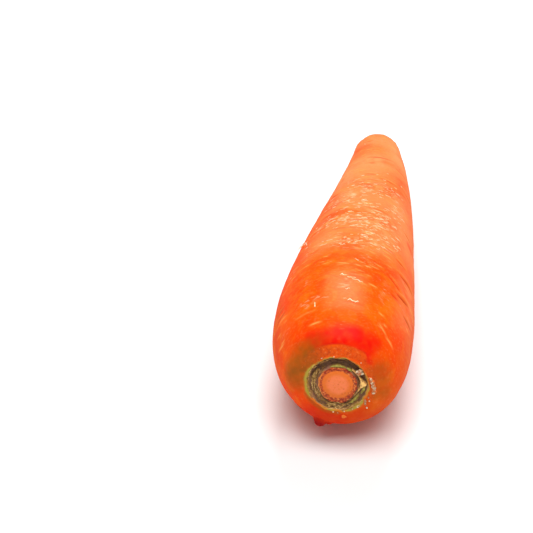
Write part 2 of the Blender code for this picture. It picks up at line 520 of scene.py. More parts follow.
@dataclass(frozen=True)
class StalkFinish:
    """Cut leaf stalk base: green or withered at the cut, olive to brown and ribbed down its sides."""

    cut: Colour = display(156, 144, 56)
    cut_pale: Colour = display(184, 176, 92)
    side: Colour = display(150, 118, 60)
    dark: Colour = display(116, 80, 56)
    withered: Colour = display(176, 134, 70)
    straw: Colour = display(222, 182, 112)

    def material(self, name: str, freshness: Freshness) -> bpy.types.Material:
        """Builds the stalk's material.

        Args:
            name: The material's name.
            freshness: How much green is left in it.

        Returns:
            The finished material.
        """
        shader = Shader(name)
        own = shader.read(OWN, vector=True)
        fibres = shader.noise(shader.scaled(own, (1.0, 1.0, 0.2)), 1700.0, 3.0, 0.3)
        spots = shader.noise(own, 1100.0, 3.0)
        side = shader.mix(shader.window(fibres, 0.40, 0.62), self.dark, self.side)
        tones = {
            Freshness.FRESH: (self.cut, self.cut_pale),
            Freshness.WITHERED: (self.withered, self.straw),
        }
        main, pale = tones[freshness]
        cut = shader.mix(shader.window(spots, 0.52, 0.66), main, pale)
        cut = shader.mix(shader.window(spots, 0.46, 0.34, 0.8), cut, self.side)
        colour = shader.mix(shader.read(CUT_END), side, cut)
        rough = shader.between(spots, 0.55, 0.80)
        return shader.finish(colour, rough, shader.bump(fibres, 0.00016), Specular_IOR_Level=0.25)


@dataclass(frozen=True)
class DryFinish:
    """Dry papery tissue: cream with beige and brown patches."""

    cream: Colour = display(250, 200, 118)
    beige: Colour = display(222, 168, 98)
    brown: Colour = display(140, 96, 62)

    def material(self, name: str) -> bpy.types.Material:
        """Builds the papery material.

        Args:
            name: The material's name.

        Returns:
            The finished material.
        """
        shader = Shader(name)
        own = shader.read(OWN, vector=True)
        patches = shader.noise(own, 900.0, 4.0, 0.5)
        colour = shader.mix(shader.window(patches, 0.42, 0.56), self.beige, self.cream)
        colour = shader.mix(shader.window(patches, 0.44, 0.30, 0.8), colour, self.brown)
        rough = shader.between(patches, 0.75, 0.92)
        return shader.finish(colour, rough, shader.bump(patches, 0.00020), Specular_IOR_Level=0.20)


@dataclass(frozen=True)
class StrandFinish:
    """Frayed plant fibre, each strand its own shade from dark brown over olive to straw."""

    dark: Colour = display(124, 90, 66)
    olive: Colour = display(172, 128, 60)
    straw: Colour = display(236, 196, 126)

    def material(self) -> bpy.types.Material:
        """Builds the fibre's material.

        Returns:
            The finished material.
        """
        shader = Shader("crown_fibre")
        own = shader.read(OWN, vector=True)
        patch = shader.noise(own, 1200.0, 2.0)
        shade = shader.maths("ADD", shader.read(SHADE), shader.maths("SUBTRACT", patch, 0.5))
        colour = shader.mix(shader.window(shade, 0.25, 0.50), self.dark, self.olive)
        colour = shader.mix(shader.window(shade, 0.70, 0.90), colour, self.straw)
        rough = shader.between(patch, 0.60, 0.85)
        return shader.finish(colour, rough, shader.bump(patch, 0.00008), Specular_IOR_Level=0.25)


@dataclass(frozen=True)
class FleckFinish:
    """Torn skin and painted glints: whitish, damp and a little glossy."""

    pale: Colour = display(255, 226, 184)
    warm: Colour = display(255, 190, 128)

    def material(self, name: str) -> bpy.types.Material:
        """Builds the fleck's material.

        Args:
            name: The material's name.

        Returns:
            The finished material.
        """
        shader = Shader(name)
        own = shader.read(OWN, vector=True)
        patch = shader.noise(own, 700.0, 2.0)
        colour = shader.mix(shader.window(patch, 0.38, 0.62), self.pale, self.warm)
        relief = shader.bump(shader.noise(own, 2500.0, 2.0), 0.00005)
        rough = shader.between(patch, 0.30, 0.50)
        return shader.finish(colour, rough, relief, Specular_IOR_Level=0.5)


@dataclass(frozen=True)
class CrumbFinish:
    """Dry crumbs and specks, each its own shade from orange-brown to cream."""

    cream: Colour = display(226, 204, 168)
    tan: Colour = display(178, 112, 74)
    russet: Colour = display(232, 116, 40)

    def material(self, name: str) -> bpy.types.Material:
        """Builds the crumbs' material.

        Args:
            name: The material's name.

        Returns:
            The finished material.
        """
        shader = Shader(name)
        own = shader.read(OWN, vector=True)
        patch = shader.noise(own, 2200.0, 3.0)
        shade = shader.maths("ADD", shader.read(SHADE), shader.maths("SUBTRACT", patch, 0.5))
        colour = shader.mix(shader.window(shade, 0.20, 0.45), self.russet, self.tan)
        colour = shader.mix(shader.window(shade, 0.50, 0.80), colour, self.cream)
        rough = shader.between(patch, 0.70, 0.90)
        return shader.finish(colour, rough, shader.bump(patch, 0.00012), Specular_IOR_Level=0.20)


# The root


@dataclass(frozen=True)
class RootShape:
    """The root's smooth outline and the places on it, in metres."""

    length: float = 0.200
    radius: float = 0.025
    widest_depth: float = 0.042
    rim_radius: float = 0.0101
    tip_cap: float = 0.011
    squareness: float = 2.9
    rise: float = 2.27
    taper: float = 0.663
    taper_bend: float = 1.34
    single_bow: float = -0.00027
    double_bow: float = -0.00146
    crown_x: float = -0.0007
    crown_y: float = -0.0002
    fade_depth: float = 0.006

    def radius_at(self, depth: Array) -> Array:
        """The skin's radius.

        Args:
            depth: Depths below the crown's rim.

        Returns:
            One radius per depth.
        """
        share = np.clip(depth / self.widest_depth, 0.0, 1.0)
        shoulder = (1.0 - (1.0 - share) ** self.squareness) ** (1.0 / self.rise)
        rim = self.rim_radius / self.radius
        down = np.clip((depth - self.widest_depth) / (self.length - self.widest_depth), 0.0, 1.0)
        tapered = 1.0 - self.taper * down ** self.taper_bend
        cap = np.clip((depth - self.length + self.tip_cap) / self.tip_cap, 0.0, 1.0)
        return self.radius * (rim + (1.0 - rim) * shoulder) * tapered * np.sqrt(1.0 - cap * cap)

    def shoulder_depth(self, radius: Array) -> Array:
        """The depth at which the shoulder has a radius."""
        depth = self.widest_depth * np.linspace(0.0, 1.0, 2000) ** 3
        return np.interp(radius, self.radius_at(depth), depth)

    def centre_at(self, depth: Array, crown: Array) -> Array:
        """Where the middle of the root lies.

        Args:
            depth: Depths below the crown's rim.
            crown: True where the place belongs to the crown's ring or core.

        Returns:
            Rows of x and y offsets from the straight axis.
        """
        down = np.clip(depth / self.length, 0.0, 1.0)
        bow = self.single_bow * np.sin(np.pi * down) + self.double_bow * np.sin(2.0 * np.pi * down)
        share = np.where(crown, 1.0, np.clip(1.0 - depth / self.fade_depth, 0.0, 1.0))
        return np.stack([bow + self.crown_x * share, self.crown_y * share], axis=-1)

    def on_ring(self, clock: Array, radius: Array, depth: Array, crown: bool = True) -> Array:
        """Own places at clock angles, radii and depths.

        Args:
            clock: Clock angles in degrees.
            radius: Distances from the root's middle.
            depth: Depths below the crown's rim.
            crown: Whether the places belong to the crown.

        Returns:
            Rows of x, y and depth.
        """
        angle = np.radians(np.asarray(clock, float))
        depth = np.asarray(depth, float) + np.zeros_like(angle)
        centre = self.centre_at(depth, np.full(depth.shape, crown))
        return np.stack([centre[..., 0] + radius * np.sin(angle),
                         centre[..., 1] + radius * np.cos(angle), depth], axis=-1)

    def on_skin(self, clock: Array, depth: Array, lift: Array | float = 0.0) -> Array:
        """Own places on the smooth skin, lifted off it by a distance.

        Args:
            clock: Clock angles in degrees.
            depth: Depths below the crown's rim.
            lift: Distances from the smooth skin.

        Returns:
            Rows of x, y and depth.
        """
        depth = np.asarray(depth, float)
        step = 0.2 * MM
        before, after = self.radius_at(np.maximum(depth - step, 0.0)), self.radius_at(depth + step)
        slope = (after - before) / (2.0 * step)
        lean = np.sqrt(1.0 + slope * slope)
        radius = self.radius_at(depth) + lift / lean
        return self.on_ring(clock, radius, depth - lift * slope / lean, crown=False)


@dataclass(frozen=True)
class Lie:
    """How the carrot lies: its axis leans down towards the tip."""

    tilt: float
    origin: tuple[float, float, float]

    def lay(self, own: Array) -> Array:
        """World places of own places.

        Args:
            own: Rows of x, y and depth in the root's own frame.

        Returns:
            Rows of world coordinates.
        """
        sine, cosine = math.sin(self.tilt), math.cos(self.tilt)
        x, y, depth = own[:, 0], own[:, 1], own[:, 2]
        laid = np.stack([x, depth * cosine + y * sine, y * cosine - depth * sine], axis=1)
        return laid + np.array(self.origin)

    @classmethod
    def on_frame(cls, shape: RootShape, tilt: float) -> "Lie":
        """Fits the smooth root to the box of its solid: level with its top, its tip and its middle.

        Args:
            shape: The root's outline.
            tilt: How far the axis leans down, in radians.

        Returns:
            The lie that lays own places onto the frame.
        """
        depth, clock = np.meshgrid(np.linspace(0.0, shape.length, 400), np.arange(0.0, 360.0, 2.0))
        skin = shape.on_ring(clock.ravel(), shape.radius_at(depth.ravel()), depth.ravel(), crown=False)
        loose = cls(tilt, (0.0, 0.0, 0.0)).lay(skin)
        low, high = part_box("carrot_root")
        middle = (low.x + high.x) / 2.0 - (loose[:, 0].min() + loose[:, 0].max()) / 2.0
        return cls(tilt, (middle, high.y - loose[:, 1].max(), high.z - loose[:, 2].max()))


@dataclass(frozen=True)
class Mark:
    """A pore or crease that runs round the root: places in degrees and millimetres."""

    clock: float
    depth: float
    half_length: float
    width: float
    sink: float
    paleness: float
    slant: float = 0.0


@dataclass(frozen=True)
class Bump:
    """A round bump on the skin: places in degrees and millimetres."""

    clock: float
    depth: float
    radius: float
    height: float


class Zone(IntEnum):
    """Parts of the root's surface that have a finish of their own."""

    SKIN = 0
    HOLLOW = 1
    CORE = 2


@dataclass
class RootBody:
    """The whole root as one closed mesh, with its relief and the paint that its finishes read.

    Spacings, reaches and the crown's line of radius and depth are in millimetres.
    """

    shape: RootShape
    lie: Lie
    segments: int = 180
    crown_spacing: float = 0.22
    shoulder_spacing: float = 0.30
    body_spacing: float = 0.45
    shoulder_reach: float = 16.0
    step_radius: float = 14.8
    crown_line: tuple[tuple[float, float], ...] = (
        (0.0, -0.60), (2.0, -0.53), (4.0, -0.34), (4.9, -0.18), (5.25, -0.02), (5.6, -0.12), (6.1, -0.10),
        (6.42, 0.08), (6.62, 0.55), (6.80, 1.15), (7.15, 1.70), (8.20, 2.00), (9.20, 1.85), (9.68, 1.35),
        (9.92, 0.75), (10.08, 0.22), (10.32, -0.12), (10.70, -0.16), (11.15, 0.03))
    bud: tuple[Bump, ...] = (Bump(199.5, 3.6, 2.3, 2.6), Bump(190.0, 3.0, 1.5, 1.2))
    marks: list[Mark] = field(default_factory=list)

    def profile(self) -> tuple[Array, Array]:
        """The turned line from the core's centre over the crown and down the skin to the tip.

        Returns:
            Rows of radius and depth in metres, and the Zone of each row.
        """
        crown = resample(smooth_line(np.array(self.crown_line), 12), self.crown_spacing)
        start = self.crown_line[-1]
        steep = self.shape.widest_depth / MM * np.linspace(0.0, 1.0, 900) ** 3.2
        even = np.linspace(self.shape.widest_depth, self.shape.length - self.shape.tip_cap, 600)[1:] / MM
        cap = np.sin(np.linspace(0.0, np.pi / 2.0, 200))[1:]
        tip = (self.shape.length - self.shape.tip_cap + self.shape.tip_cap * cap) / MM
        depth = np.concatenate([steep, even, tip])
        radius = self.shape.radius_at(depth * MM) / MM
        skin = np.stack([radius, depth], axis=1)[(radius > start[0] + 0.1) | (depth > 50.0)]
        skin = np.vstack([crown[-1], skin])
        reach = np.concatenate([[0.0], np.cumsum(np.hypot(*np.diff(skin, axis=0).T))])
        close = np.arange(self.shoulder_spacing, self.shoulder_reach, self.shoulder_spacing)
        body = np.arange(self.shoulder_reach, reach[-1], self.body_spacing)
        stops = np.concatenate([close, body, [reach[-1]]])
        skin = np.stack([np.interp(stops, reach, skin[:, 0]), np.interp(stops, reach, skin[:, 1])], axis=1)
        line = np.vstack([crown, skin])
        zone = np.full(len(line), Zone.SKIN)
        inner = np.where(crown[:, 0] < CORE_EDGE, Zone.CORE, Zone.HOLLOW)
        zone[:len(crown)] = np.where(crown[:, 0] < RING_EDGE, inner, Zone.SKIN)
        return line * MM, zone

    def wander(self, clock: Array, reach: Array) -> Array:
        """How far the crown's rings stray from true circles, in millimetres.

        Args:
            clock: Clock angles in degrees.
            reach: Distances from the root's middle, in millimetres.

        Returns:
            One distance per place, outward.
        """
        angle = np.radians(clock)
        around = np.stack([np.sin(angle), np.cos(angle), np.zeros_like(angle)], 1)
        low_ring = 0.95 * ramp(np.abs(clock_gap(clock, RING_LOW)), 70.0, 20.0)
        inner = (low_ring + 0.22 * lattice_noise(around * 5.0, 31)) * np.exp(-((reach - 6.6) / 0.9) ** 2)
        ragged = 0.34 * lattice_noise(around * 3.2, 33) + 0.20 * lattice_noise(around * 9.0, 35)
        ragged += 0.30 * ramp(np.abs(clock_gap(clock, LIP_FAR_LEFT)), 50.0, 25.0)
        outer = ragged * np.exp(-((reach - 10.1) / 0.9) ** 2)
        return inner + outer

    def build(self) -> bpy.types.Object:
        """Builds the root, paints it and dresses it.

        Returns:
            The root's object.
        """
        line, zone = self.profile()
        rings = len(line) - 1
        tangent = np.gradient(line, axis=0)
        tangent /= np.linalg.norm(tangent, axis=1)[:, None]
        clock = np.tile(np.arange(self.segments) * 360.0 / self.segments, rings - 1)
        radius, depth = np.repeat(line[1:rings], self.segments, axis=0).T
        back, out = np.repeat(tangent[1:rings] * (-1.0, 1.0), self.segments, axis=0).T
        region = np.repeat(zone[1:rings], self.segments)
        fields = SurfaceFields(self, clock, radius, depth, region)
        lift = fields.relief()
        radius = radius + self.wander(clock, radius / MM) * MM + out * lift
        depth = depth + back * lift
        centre = self.shape.centre_at(depth, region != Zone.SKIN)
        angle = np.radians(clock)
        own = np.stack([radius * np.sin(angle), radius * np.cos(angle), depth], 1)
        own[:, :2] += centre
        own, tint = self.with_bud(own)
        first = np.array([[self.shape.crown_x, self.shape.crown_y, line[0, 1]]])
        last = np.array([[0.0, 0.0, line[-1, 1]]])
        own = np.vstack([first, own, last])
        world = self.lie.lay(own)
        world[:, 2] = np.maximum(world[:, 2], FLOOR_GAP)
        root = mesh_object("carrot_root_skin", world, self.faces(rings - 1))
        self.dress(root, zone, rings - 1)
        set_attribute(root, OWN, own)
        paint = fields.paint()
        paint[BUD] = tint
        for name, values in paint.items():
            set_attribute(root, name, np.concatenate([values[:1], values, values[-1:]]))
        attach(root, ("carrot_root",))
        return root

    def faces(self, rings: int) -> list[list[int]]:
        """Faces of the closed skin: a fan at each end and quads between the rings.

        Args:
            rings: How many rings of points lie between the two end points.

        Returns:
            Point numbers of each face.
        """
        count = self.segments
        here = np.arange(count)
        ahead = np.roll(here, -1)
        starts = 1 + np.arange(rings - 1)[:, None] * count
        quads = np.stack([starts + here + count, starts + ahead + count, starts + ahead, starts + here], -1)
        last = 1 + rings * count
        base = last - count
        top = [[1 + a, 1 + b, 0] for a, b in zip(here.tolist(), ahead.tolist())]
        end = [[base + b, base + a, last] for a, b in zip(here.tolist(), ahead.tolist())]
        return top + quads.reshape(-1, 4).tolist() + end

    def dress(self, root: bpy.types.Object, zone: Array, rings: int) -> None:
        """Gives each part of the surface its finish.

        Args:
            root: The root's object.
            zone: The Zone of each row of the turned line.
            rings: How many rings of points it has.
        """
        for finish in (SkinFinish(), HollowFinish(), CoreFinish()):
            root.data.materials.append(finish.material())
        count = self.segments
        slots = np.concatenate([np.full(count, Zone.CORE), np.repeat(zone[1:rings], count),
                                np.full(count, Zone.SKIN)])
        root.data.polygons.foreach_set("material_index", slots.astype(np.int32))

    def with_bud(self, own: Array) -> tuple[Array, Array]:
        """Pushes the bud's bumps out of the shoulder.

        Args:
            own: Own places of the surface.

        Returns:
            The places with the bud, and how strongly each has its colour.
        """
        tint = np.zeros(len(own))
        for bump in self.bud:
            clock, depth = np.array([bump.clock]), np.array([bump.depth * MM])
            seat = self.shape.on_skin(clock, depth)[0]
            outward = self.shape.on_skin(clock, depth, MM)[0] - seat
            outward /= np.linalg.norm(outward)
            offset = own - seat
            height = offset @ outward
            aside = np.linalg.norm(offset - height[:, None] * outward, axis=1) / (bump.radius * MM)
            dome = np.sqrt(np.clip(1.0 - aside ** 2, 0.0, 1.0)) * bump.height * MM
            skirt = 0.25 * MM * ramp(aside, 1.6, 0.9)
            near = (np.abs(height) < 3.0 * MM) & (aside < 1.6)
            push = np.where(near, np.maximum(dome - np.maximum(height, 0.0), skirt), 0.0)
            own = own + push[:, None] * outward
            strength = min(bump.height / 2.0, 1.0)
            tint = np.maximum(tint, np.where(near, ramp(aside, 1.25, 0.75), 0.0) * strength)
        return own, tint

    def place(self, clock: Array, depth: Array, lift: Array | float = 0.0) -> Array:
        """Own places on the finished skin.

        Args:
            clock: Clock angles in degrees.
            depth: Depths in millimetres.
            lift: How far above the skin, in millimetres.

        Returns:
            Rows of x, y and depth.
        """
        clock = np.asarray(clock, float)
        depth = np.asarray(depth, float) * MM + np.zeros_like(clock)
        zone = np.full(len(clock), Zone.SKIN)
        relief = SurfaceFields(self, clock, self.shape.radius_at(depth), depth, zone).relief()
        return self.shape.on_skin(clock, depth, relief + np.asarray(lift) * MM)

    def beside_ring(self, clock: Array, radius: Array, lift: Array | float = 0.0) -> Array:
        """Own places on the collar, at distances from the root's middle in millimetres."""
        depth = self.shape.shoulder_depth(np.asarray(radius, float) * MM)
        return self.place(clock, depth / MM, lift)


@dataclass
class SurfaceFields:
    """Relief and paint of the root at given places: clock in degrees, the rest in metres."""

    body: RootBody
    clock: Array
    radius: Array
    depth: Array
    zone: Array

    def __post_init__(self) -> None:
        """Works out the coordinates that the noises read, in millimetres."""
        angle = np.radians(self.clock)
        self.round = np.stack([np.sin(angle), np.cos(angle), np.zeros_like(angle)], 1)
        self.mm = self.depth / MM
        self.reach = self.radius / MM
        self.flat = self.round * self.reach[:, None] + np.array([0.0, 0.0, 1.0]) * self.mm[:, None]
        self.skin = self.zone == Zone.SKIN
        self.shoulder = self.skin & (self.mm < SHOULDER_DEPTH)
        self.painted_crease_shade = np.zeros(len(self.clock))
        self.pores = np.zeros(len(self.clock))
        self.sinks = np.zeros(len(self.clock))
        self.draw_marks()

    def away(self, centre: float) -> Array:
        """Degrees between each place and a clock angle, without sign."""
        return np.abs(clock_gap(self.clock, centre))

    def draw_marks(self) -> None:
        """Adds up the painted shade in the grooves, the pale streaks with painted highlight beside deep
        creases, and the depth of every mark.
        """
        for mark in self.body.marks:
            near = np.nonzero(self.skin & (np.abs(self.mm - mark.depth) < 3.0 * mark.width + 2.0))[0]
            around = clock_gap(self.clock[near], mark.clock) * np.pi / 180.0 * self.reach[near]
            wander = 0.35 * np.sin(around * 0.9 + mark.depth)
            across = self.mm[near] - mark.depth - mark.slant * around - 0.4 * wander * mark.width
            end = np.clip(1.0 - (around / mark.half_length) ** 2, 0.0, 1.0)
            groove = np.exp(-(across / mark.width) ** 2) * end
            lip = np.exp(-((across - 1.9 * mark.width) / mark.width) ** 2) * end
            self.sinks[near] += mark.sink * (0.55 * lip - groove)
            np.maximum.at(self.pores, near, mark.paleness * groove * np.sqrt(end))
            # Painted shade: the groove of a deeper mark is painted dark
            if mark.sink > 0.1:
                np.maximum.at(self.painted_crease_shade, near, min(0.70 + 0.5 * mark.sink, 1.0) * groove)
                # Painted highlight: the ridge beside a deep crease is painted pale
                np.maximum.at(self.pores, near, 0.30 * lip * (mark.sink > 0.15))

    def relief(self) -> Array:
        """How far the relief stands out of the smooth surface.

        Returns:
            One distance in metres per place.
        """
        broad = 0.38 * lattice_noise(self.flat / 34.0, 3) + 0.17 * lattice_noise(self.flat / 13.0, 5)
        ripple = 0.075 * lattice_noise(self.flat / np.array([5.5, 5.5, 3.2]), 7)
        wrinkle = 0.040 * lattice_noise(self.flat / np.array([2.6, 2.6, 1.1]), 9)
        onset = np.clip(ramp(self.reach, 12.0, 18.0) + ramp(self.mm, 8.0, 20.0), 0.0, 1.0)
        skin = (broad + ripple + wrinkle) * onset + self.sinks
        skin -= self.scar() * (0.35 + 0.10 * np.sin(self.reach * 7.0))
        crown_grain = 0.07 * lattice_noise(self.flat / 1.1, 11)
        skin += self.collar_step() + crown_grain * ramp(self.reach, 18.0, 12.0)
        lip = np.exp(-((self.reach - 10.7) / 0.5) ** 2) * (self.mm < 1.0)
        skin += lip * (0.10 + 0.24 * lattice_noise(self.flat / 0.8, 12))
        grain = ramp(self.reach, 5.2, 5.7) * 0.12 * lattice_noise(self.flat / 0.45, 13)
        core = 0.035 * lattice_noise(self.flat / 0.9, 15) + grain
        fibre = 0.16 * lattice_noise(self.ringwise(), 17)
        hollow = fibre + self.hollow_fill() * (1.0 + 0.35 * lattice_noise(self.flat / 0.8, 19))
        chosen = np.select([self.zone == Zone.CORE, self.zone == Zone.HOLLOW], [core, hollow], skin)
        return chosen * MM

    def ringwise(self) -> Array:
        """Coordinates in which fibres run round the crown."""
        return self.round * 4.5 + np.array([0.0, 0.0, 1.0]) * (self.reach * 3.6 + self.mm * 3.0)[:, None]

    def hollow_fill(self) -> Array:
        """How far the ring's floor is filled with tissue: little at the top, more low and left."""
        open_top = ramp(self.away(8.0), 95.0, 60.0)
        return (0.05 + 0.75 * (1.0 - open_top)) * ramp(self.mm, 0.9, 1.7)

    def step_edge(self) -> Array:
        """Distance of the collar's edge from the root's middle: least at the right."""
        return self.body.step_radius - 1.5 * ramp(clock_gap(self.clock, 0.0), 34.0, 50.0)

    def collar_step(self) -> Array:
        """Low step where the crown's collar meets the shoulder, clearest at the top.

        Returns:
            One height in millimetres per place.
        """
        edge = self.step_edge() + 0.25 * lattice_noise(self.round * 4.0, 21)
        top = ramp(self.away(COLLAR_TOP), 75.0, 35.0)
        rise = ramp(self.reach, edge - 0.25, edge + 0.35) * ramp(self.mm, 12.0, 3.0)
        return np.where(self.mm < 20.0, 0.34 * top * rise, 0.0)

    def paint(self) -> dict[str, Array]:
        """Works out everything that the finishes read.

        Returns:
            One array per attribute, by the attribute's name.
        """
        return {
            REDNESS_AND_SHADE: self.redness_and_shade(),
            GREENING: self.greening(),
            LIP: self.lip(),
            RUSSET: self.russet(),
            PALENESS_AND_SHEEN: self.paleness_and_sheen(),
            PORES_AND_RIDGE_HIGHLIGHT: np.clip(self.pores, 0.0, 1.0),
            SCUFFS: self.scuffs(),
            SHADED_CREASES: np.clip(self.painted_crease_shade, 0.0, 1.0),
            CROWN_REACH: self.reach,
            RINGWISE: self.ringwise(),
        }

    def redness_and_shade(self) -> Array:
        """Red on the shoulder: a band above the collar with a tail at its right, and painted shade in red
        below the crown and at its low right.

        Returns:
            One share from 0 to 1 per place.
        """
        noise = lattice_noise(self.flat / 5.0, 23)
        edge = self.step_edge()
        along = ramp(self.reach, edge - 0.2, edge + 0.4)
        fade = ramp(self.mm + 0.9 * noise, 8.4, 3.4)
        span = ramp(self.away(COLLAR_TOP) + 5.0 * noise, 53.0, 33.0)
        from_tail = np.hypot(clock_gap(self.clock, FLUSH_TAIL) / 7.0, (self.reach - 14.0) / 1.2)
        tail = 0.9 * ramp(from_tail, 1.3, 0.4)
        # Painted shade: below the crown and at its low right the skin is painted darker red
        beyond_lip = ramp(self.reach, 11.2, 12.6)
        below = ramp(self.away(RED_SHADE_BELOW) + 8.0 * noise, 48.0, 20.0) * beyond_lip
        below *= 0.95 * ramp(self.mm + noise, 14.0, 6.0)
        low_right = 0.62 * ramp(self.away(RED_SHADE_LOW_RIGHT), 48.0, 20.0) * ramp(self.mm, 13.0, 6.0) * beyond_lip
        mottle = 0.92 + 0.18 * lattice_noise(self.flat / 1.6, 28)
        tint = 0.27 * ramp(self.mm + 1.5 * noise, 16.0, 7.0) * ramp(self.away(0.0), 75.0, 45.0) * along
        red = np.maximum.reduce([along * fade * span, tail, below, low_right, tint]) * mottle
        return np.clip(red, 0.0, 1.0) * self.shoulder

    def greening(self) -> Array:
        """Olive tint on the shoulder: most at its left, less at its right.

        Returns:
            One share from 0 to 1 per place.
        """
        noise = lattice_noise(self.flat / 3.4, 25) + 0.4 * lattice_noise(self.flat / 1.1, 24)
        near = ramp(self.mm + 0.6 * noise, 6.2, 0.9)
        left = ramp(self.away(GREEN_LEFT) + 5.0 * noise, 58.0, 18.0)
        right = ramp(self.away(GREEN_RIGHT) + 6.0 * noise, 52.0, 14.0)
        below = 0.26 * ramp(self.away(GREEN_BELOW) + 6.0 * noise, 80.0, 40.0) * ramp(self.mm, 12.0, 5.0)
        low_left = 0.60 * ramp(self.away(GREEN_LOW_LEFT), 50.0, 30.0) * ramp(self.reach, 13.2, 11.6)
        mottle = 0.94 + 0.22 * lattice_noise(self.flat / 1.4, 30)
        sides = near * np.maximum(0.92 * left, 0.56 * right) * mottle
        green = np.maximum.reduce([sides, below, low_left])
        return np.clip(green * ramp(self.reach, 10.2, 10.9), 0.0, 1.0) * self.shoulder

    def lip(self) -> Array:
        """Yellow-green lip round the ring: wide at the left and low right, a thin line elsewhere.

        Returns:
            One share from 0 to 1 per place.
        """
        noise = lattice_noise(self.flat / 1.2, 26)
        wide = np.maximum(ramp(self.away(LIP_LEFT), 48.0, 22.0), ramp(self.away(LIP_LOW_RIGHT), 24.0, 12.0))
        side = np.maximum(wide, 0.35 * ramp(self.away(LIP_RIGHT), 50.0, 20.0))
        left = ramp(self.away(LIP_FAR_LEFT), 48.0, 24.0)
        centre = LIP_REACH + 0.28 * wide + 0.10 * left + 0.12 * noise
        width = 0.30 + 0.30 * wide + (0.28 + 0.17 * left) * (self.reach < centre)
        strength = 0.72 + 0.15 * side + 0.40 * wide + 0.45 * noise
        low_left = ramp(self.away(LIP_LOW_LEFT), 30.0, 12.0)
        band = np.exp(-((self.reach - centre) / width) ** 2) * strength * (1.0 - 0.4 * low_left)
        edge = np.exp(-((self.reach - CORE_RIM) / 0.22) ** 2) * ramp(self.away(CORE_LEFT), 52.0, 30.0)
        edge *= (self.zone == Zone.CORE) * (0.9 + 0.3 * noise)
        return np.clip(band * (self.mm < 1.2) + edge, 0.0, 1.0)

    def russet(self) -> Array:
        """Rough speckled collar between the ring and the step, fading out low down.

        Returns:
            One share from 0 to 1 per place.
        """
        noise = lattice_noise(self.flat / 1.6, 28)
        inside = ramp(self.reach - self.step_edge() + 0.4 * noise, 0.6, -0.9)
        top = ramp(self.away(26.0) + 10.0 * noise, 100.0, 50.0)
        collar = (0.12 + 0.70 * top) * inside * (0.75 + 0.35 * noise) * self.shoulder
        return np.clip(np.maximum(collar, self.scar()), 0.0, 1.0)

    def scar(self) -> Array:
        """Small brownish scar at the tip, where the fine end of the root broke off."""
        rough = 0.3 * lattice_noise(self.flat / 0.9, 30)
        return 0.9 * ramp(self.mm, 196.0, 198.0) * ramp(self.reach + rough, 2.4, 1.5)

    def paleness_and_sheen(self) -> Array:
        """Paler skin: strongest towards the tip and over the top from the middle on, with painted sheen, the
        lights' soft reflection, on the right flank and on the top near the crown, all in soft patches.

        Returns:
            One share from 0 to 1 per place.
        """
        patch = lattice_noise(self.flat / np.array([11.0, 11.0, 15.0]), 29)
        end = 0.85 * ramp(self.mm, 92.0, 150.0)
        middle = 0.62 * ramp(self.mm, 42.0, 70.0) * ramp(self.away(22.0), 88.0, 40.0)
        # Painted sheen on the right flank and on the top near the crown, where these reflect the lights
        right = 0.62 * ramp(self.away(78.0), 40.0, 16.0) * ramp(self.mm, 8.0, 20.0)
        crest = ramp(self.mm, 10.0, 14.0) * ramp(self.mm, 38.0, 30.0)
        near = 0.35 * ramp(self.away(0.0), 24.0, 10.0) * crest
        base = np.maximum.reduce([end, middle, right, near])
        return np.clip(base * (0.85 + 0.5 * patch), 0.0, 1.0) * self.skin

    def scuffs(self) -> Array:
        """Patches of fine scuffs, mostly along the top of the middle.

        Returns:
            One share from 0 to 1 per place.
        """
        patch = lattice_noise(self.flat / np.array([7.0, 7.0, 6.0]), 27)
        top = ramp(self.away(2.0), 62.0, 25.0)
        middle = ramp(self.mm, 48.0, 64.0) * ramp(self.mm, 150.0, 110.0)
        most = top * middle * ramp(patch, -0.45, 0.25)
        some = 0.5 * ramp(patch, 0.35, 0.8)
        return np.clip(np.maximum(most, some), 0.0, 1.0) * ramp(self.reach, 15.0, 19.0) * self.skin


def smooth_line(points: Array, steps: int) -> Array:
    """A smooth line through points.

    Args:
        points: The points that it passes through.
        steps: Places per stretch between two of them.

    Returns:
        The line's places, one row each.
    """
    padded = np.vstack([2.0 * points[0] - points[1], points, 2.0 * points[-1] - points[-2]])
    share = np.linspace(0.0, 1.0, steps, endpoint=False)[:, None]
    line = []
    for before, start, end, after in zip(padded, padded[1:], padded[2:], padded[3:]):
        cubic = -before + 3.0 * start - 3.0 * end + after
        square = 2.0 * before - 5.0 * start + 4.0 * end - after
        line.append(0.5 * (2.0 * start + (end - before) * share + square * share ** 2 + cubic * share ** 3))
    return np.vstack(line + [points[-1:]])


def resample(line: Array, spacing: float) -> Array:
    """Spaces a line's places evenly.

    Args:
        line: Its places, one row each.
        spacing: About how far apart they shall be.

    Returns:
        The new places, one row each.
    """
    reach = np.concatenate([[0.0], np.cumsum(np.linalg.norm(np.diff(line, axis=0), axis=1))])
    stops = np.linspace(0.0, reach[-1], max(int(reach[-1] / spacing), 2) + 1)
    return np.stack([np.interp(stops, reach, column) for column in line.T], axis=1)


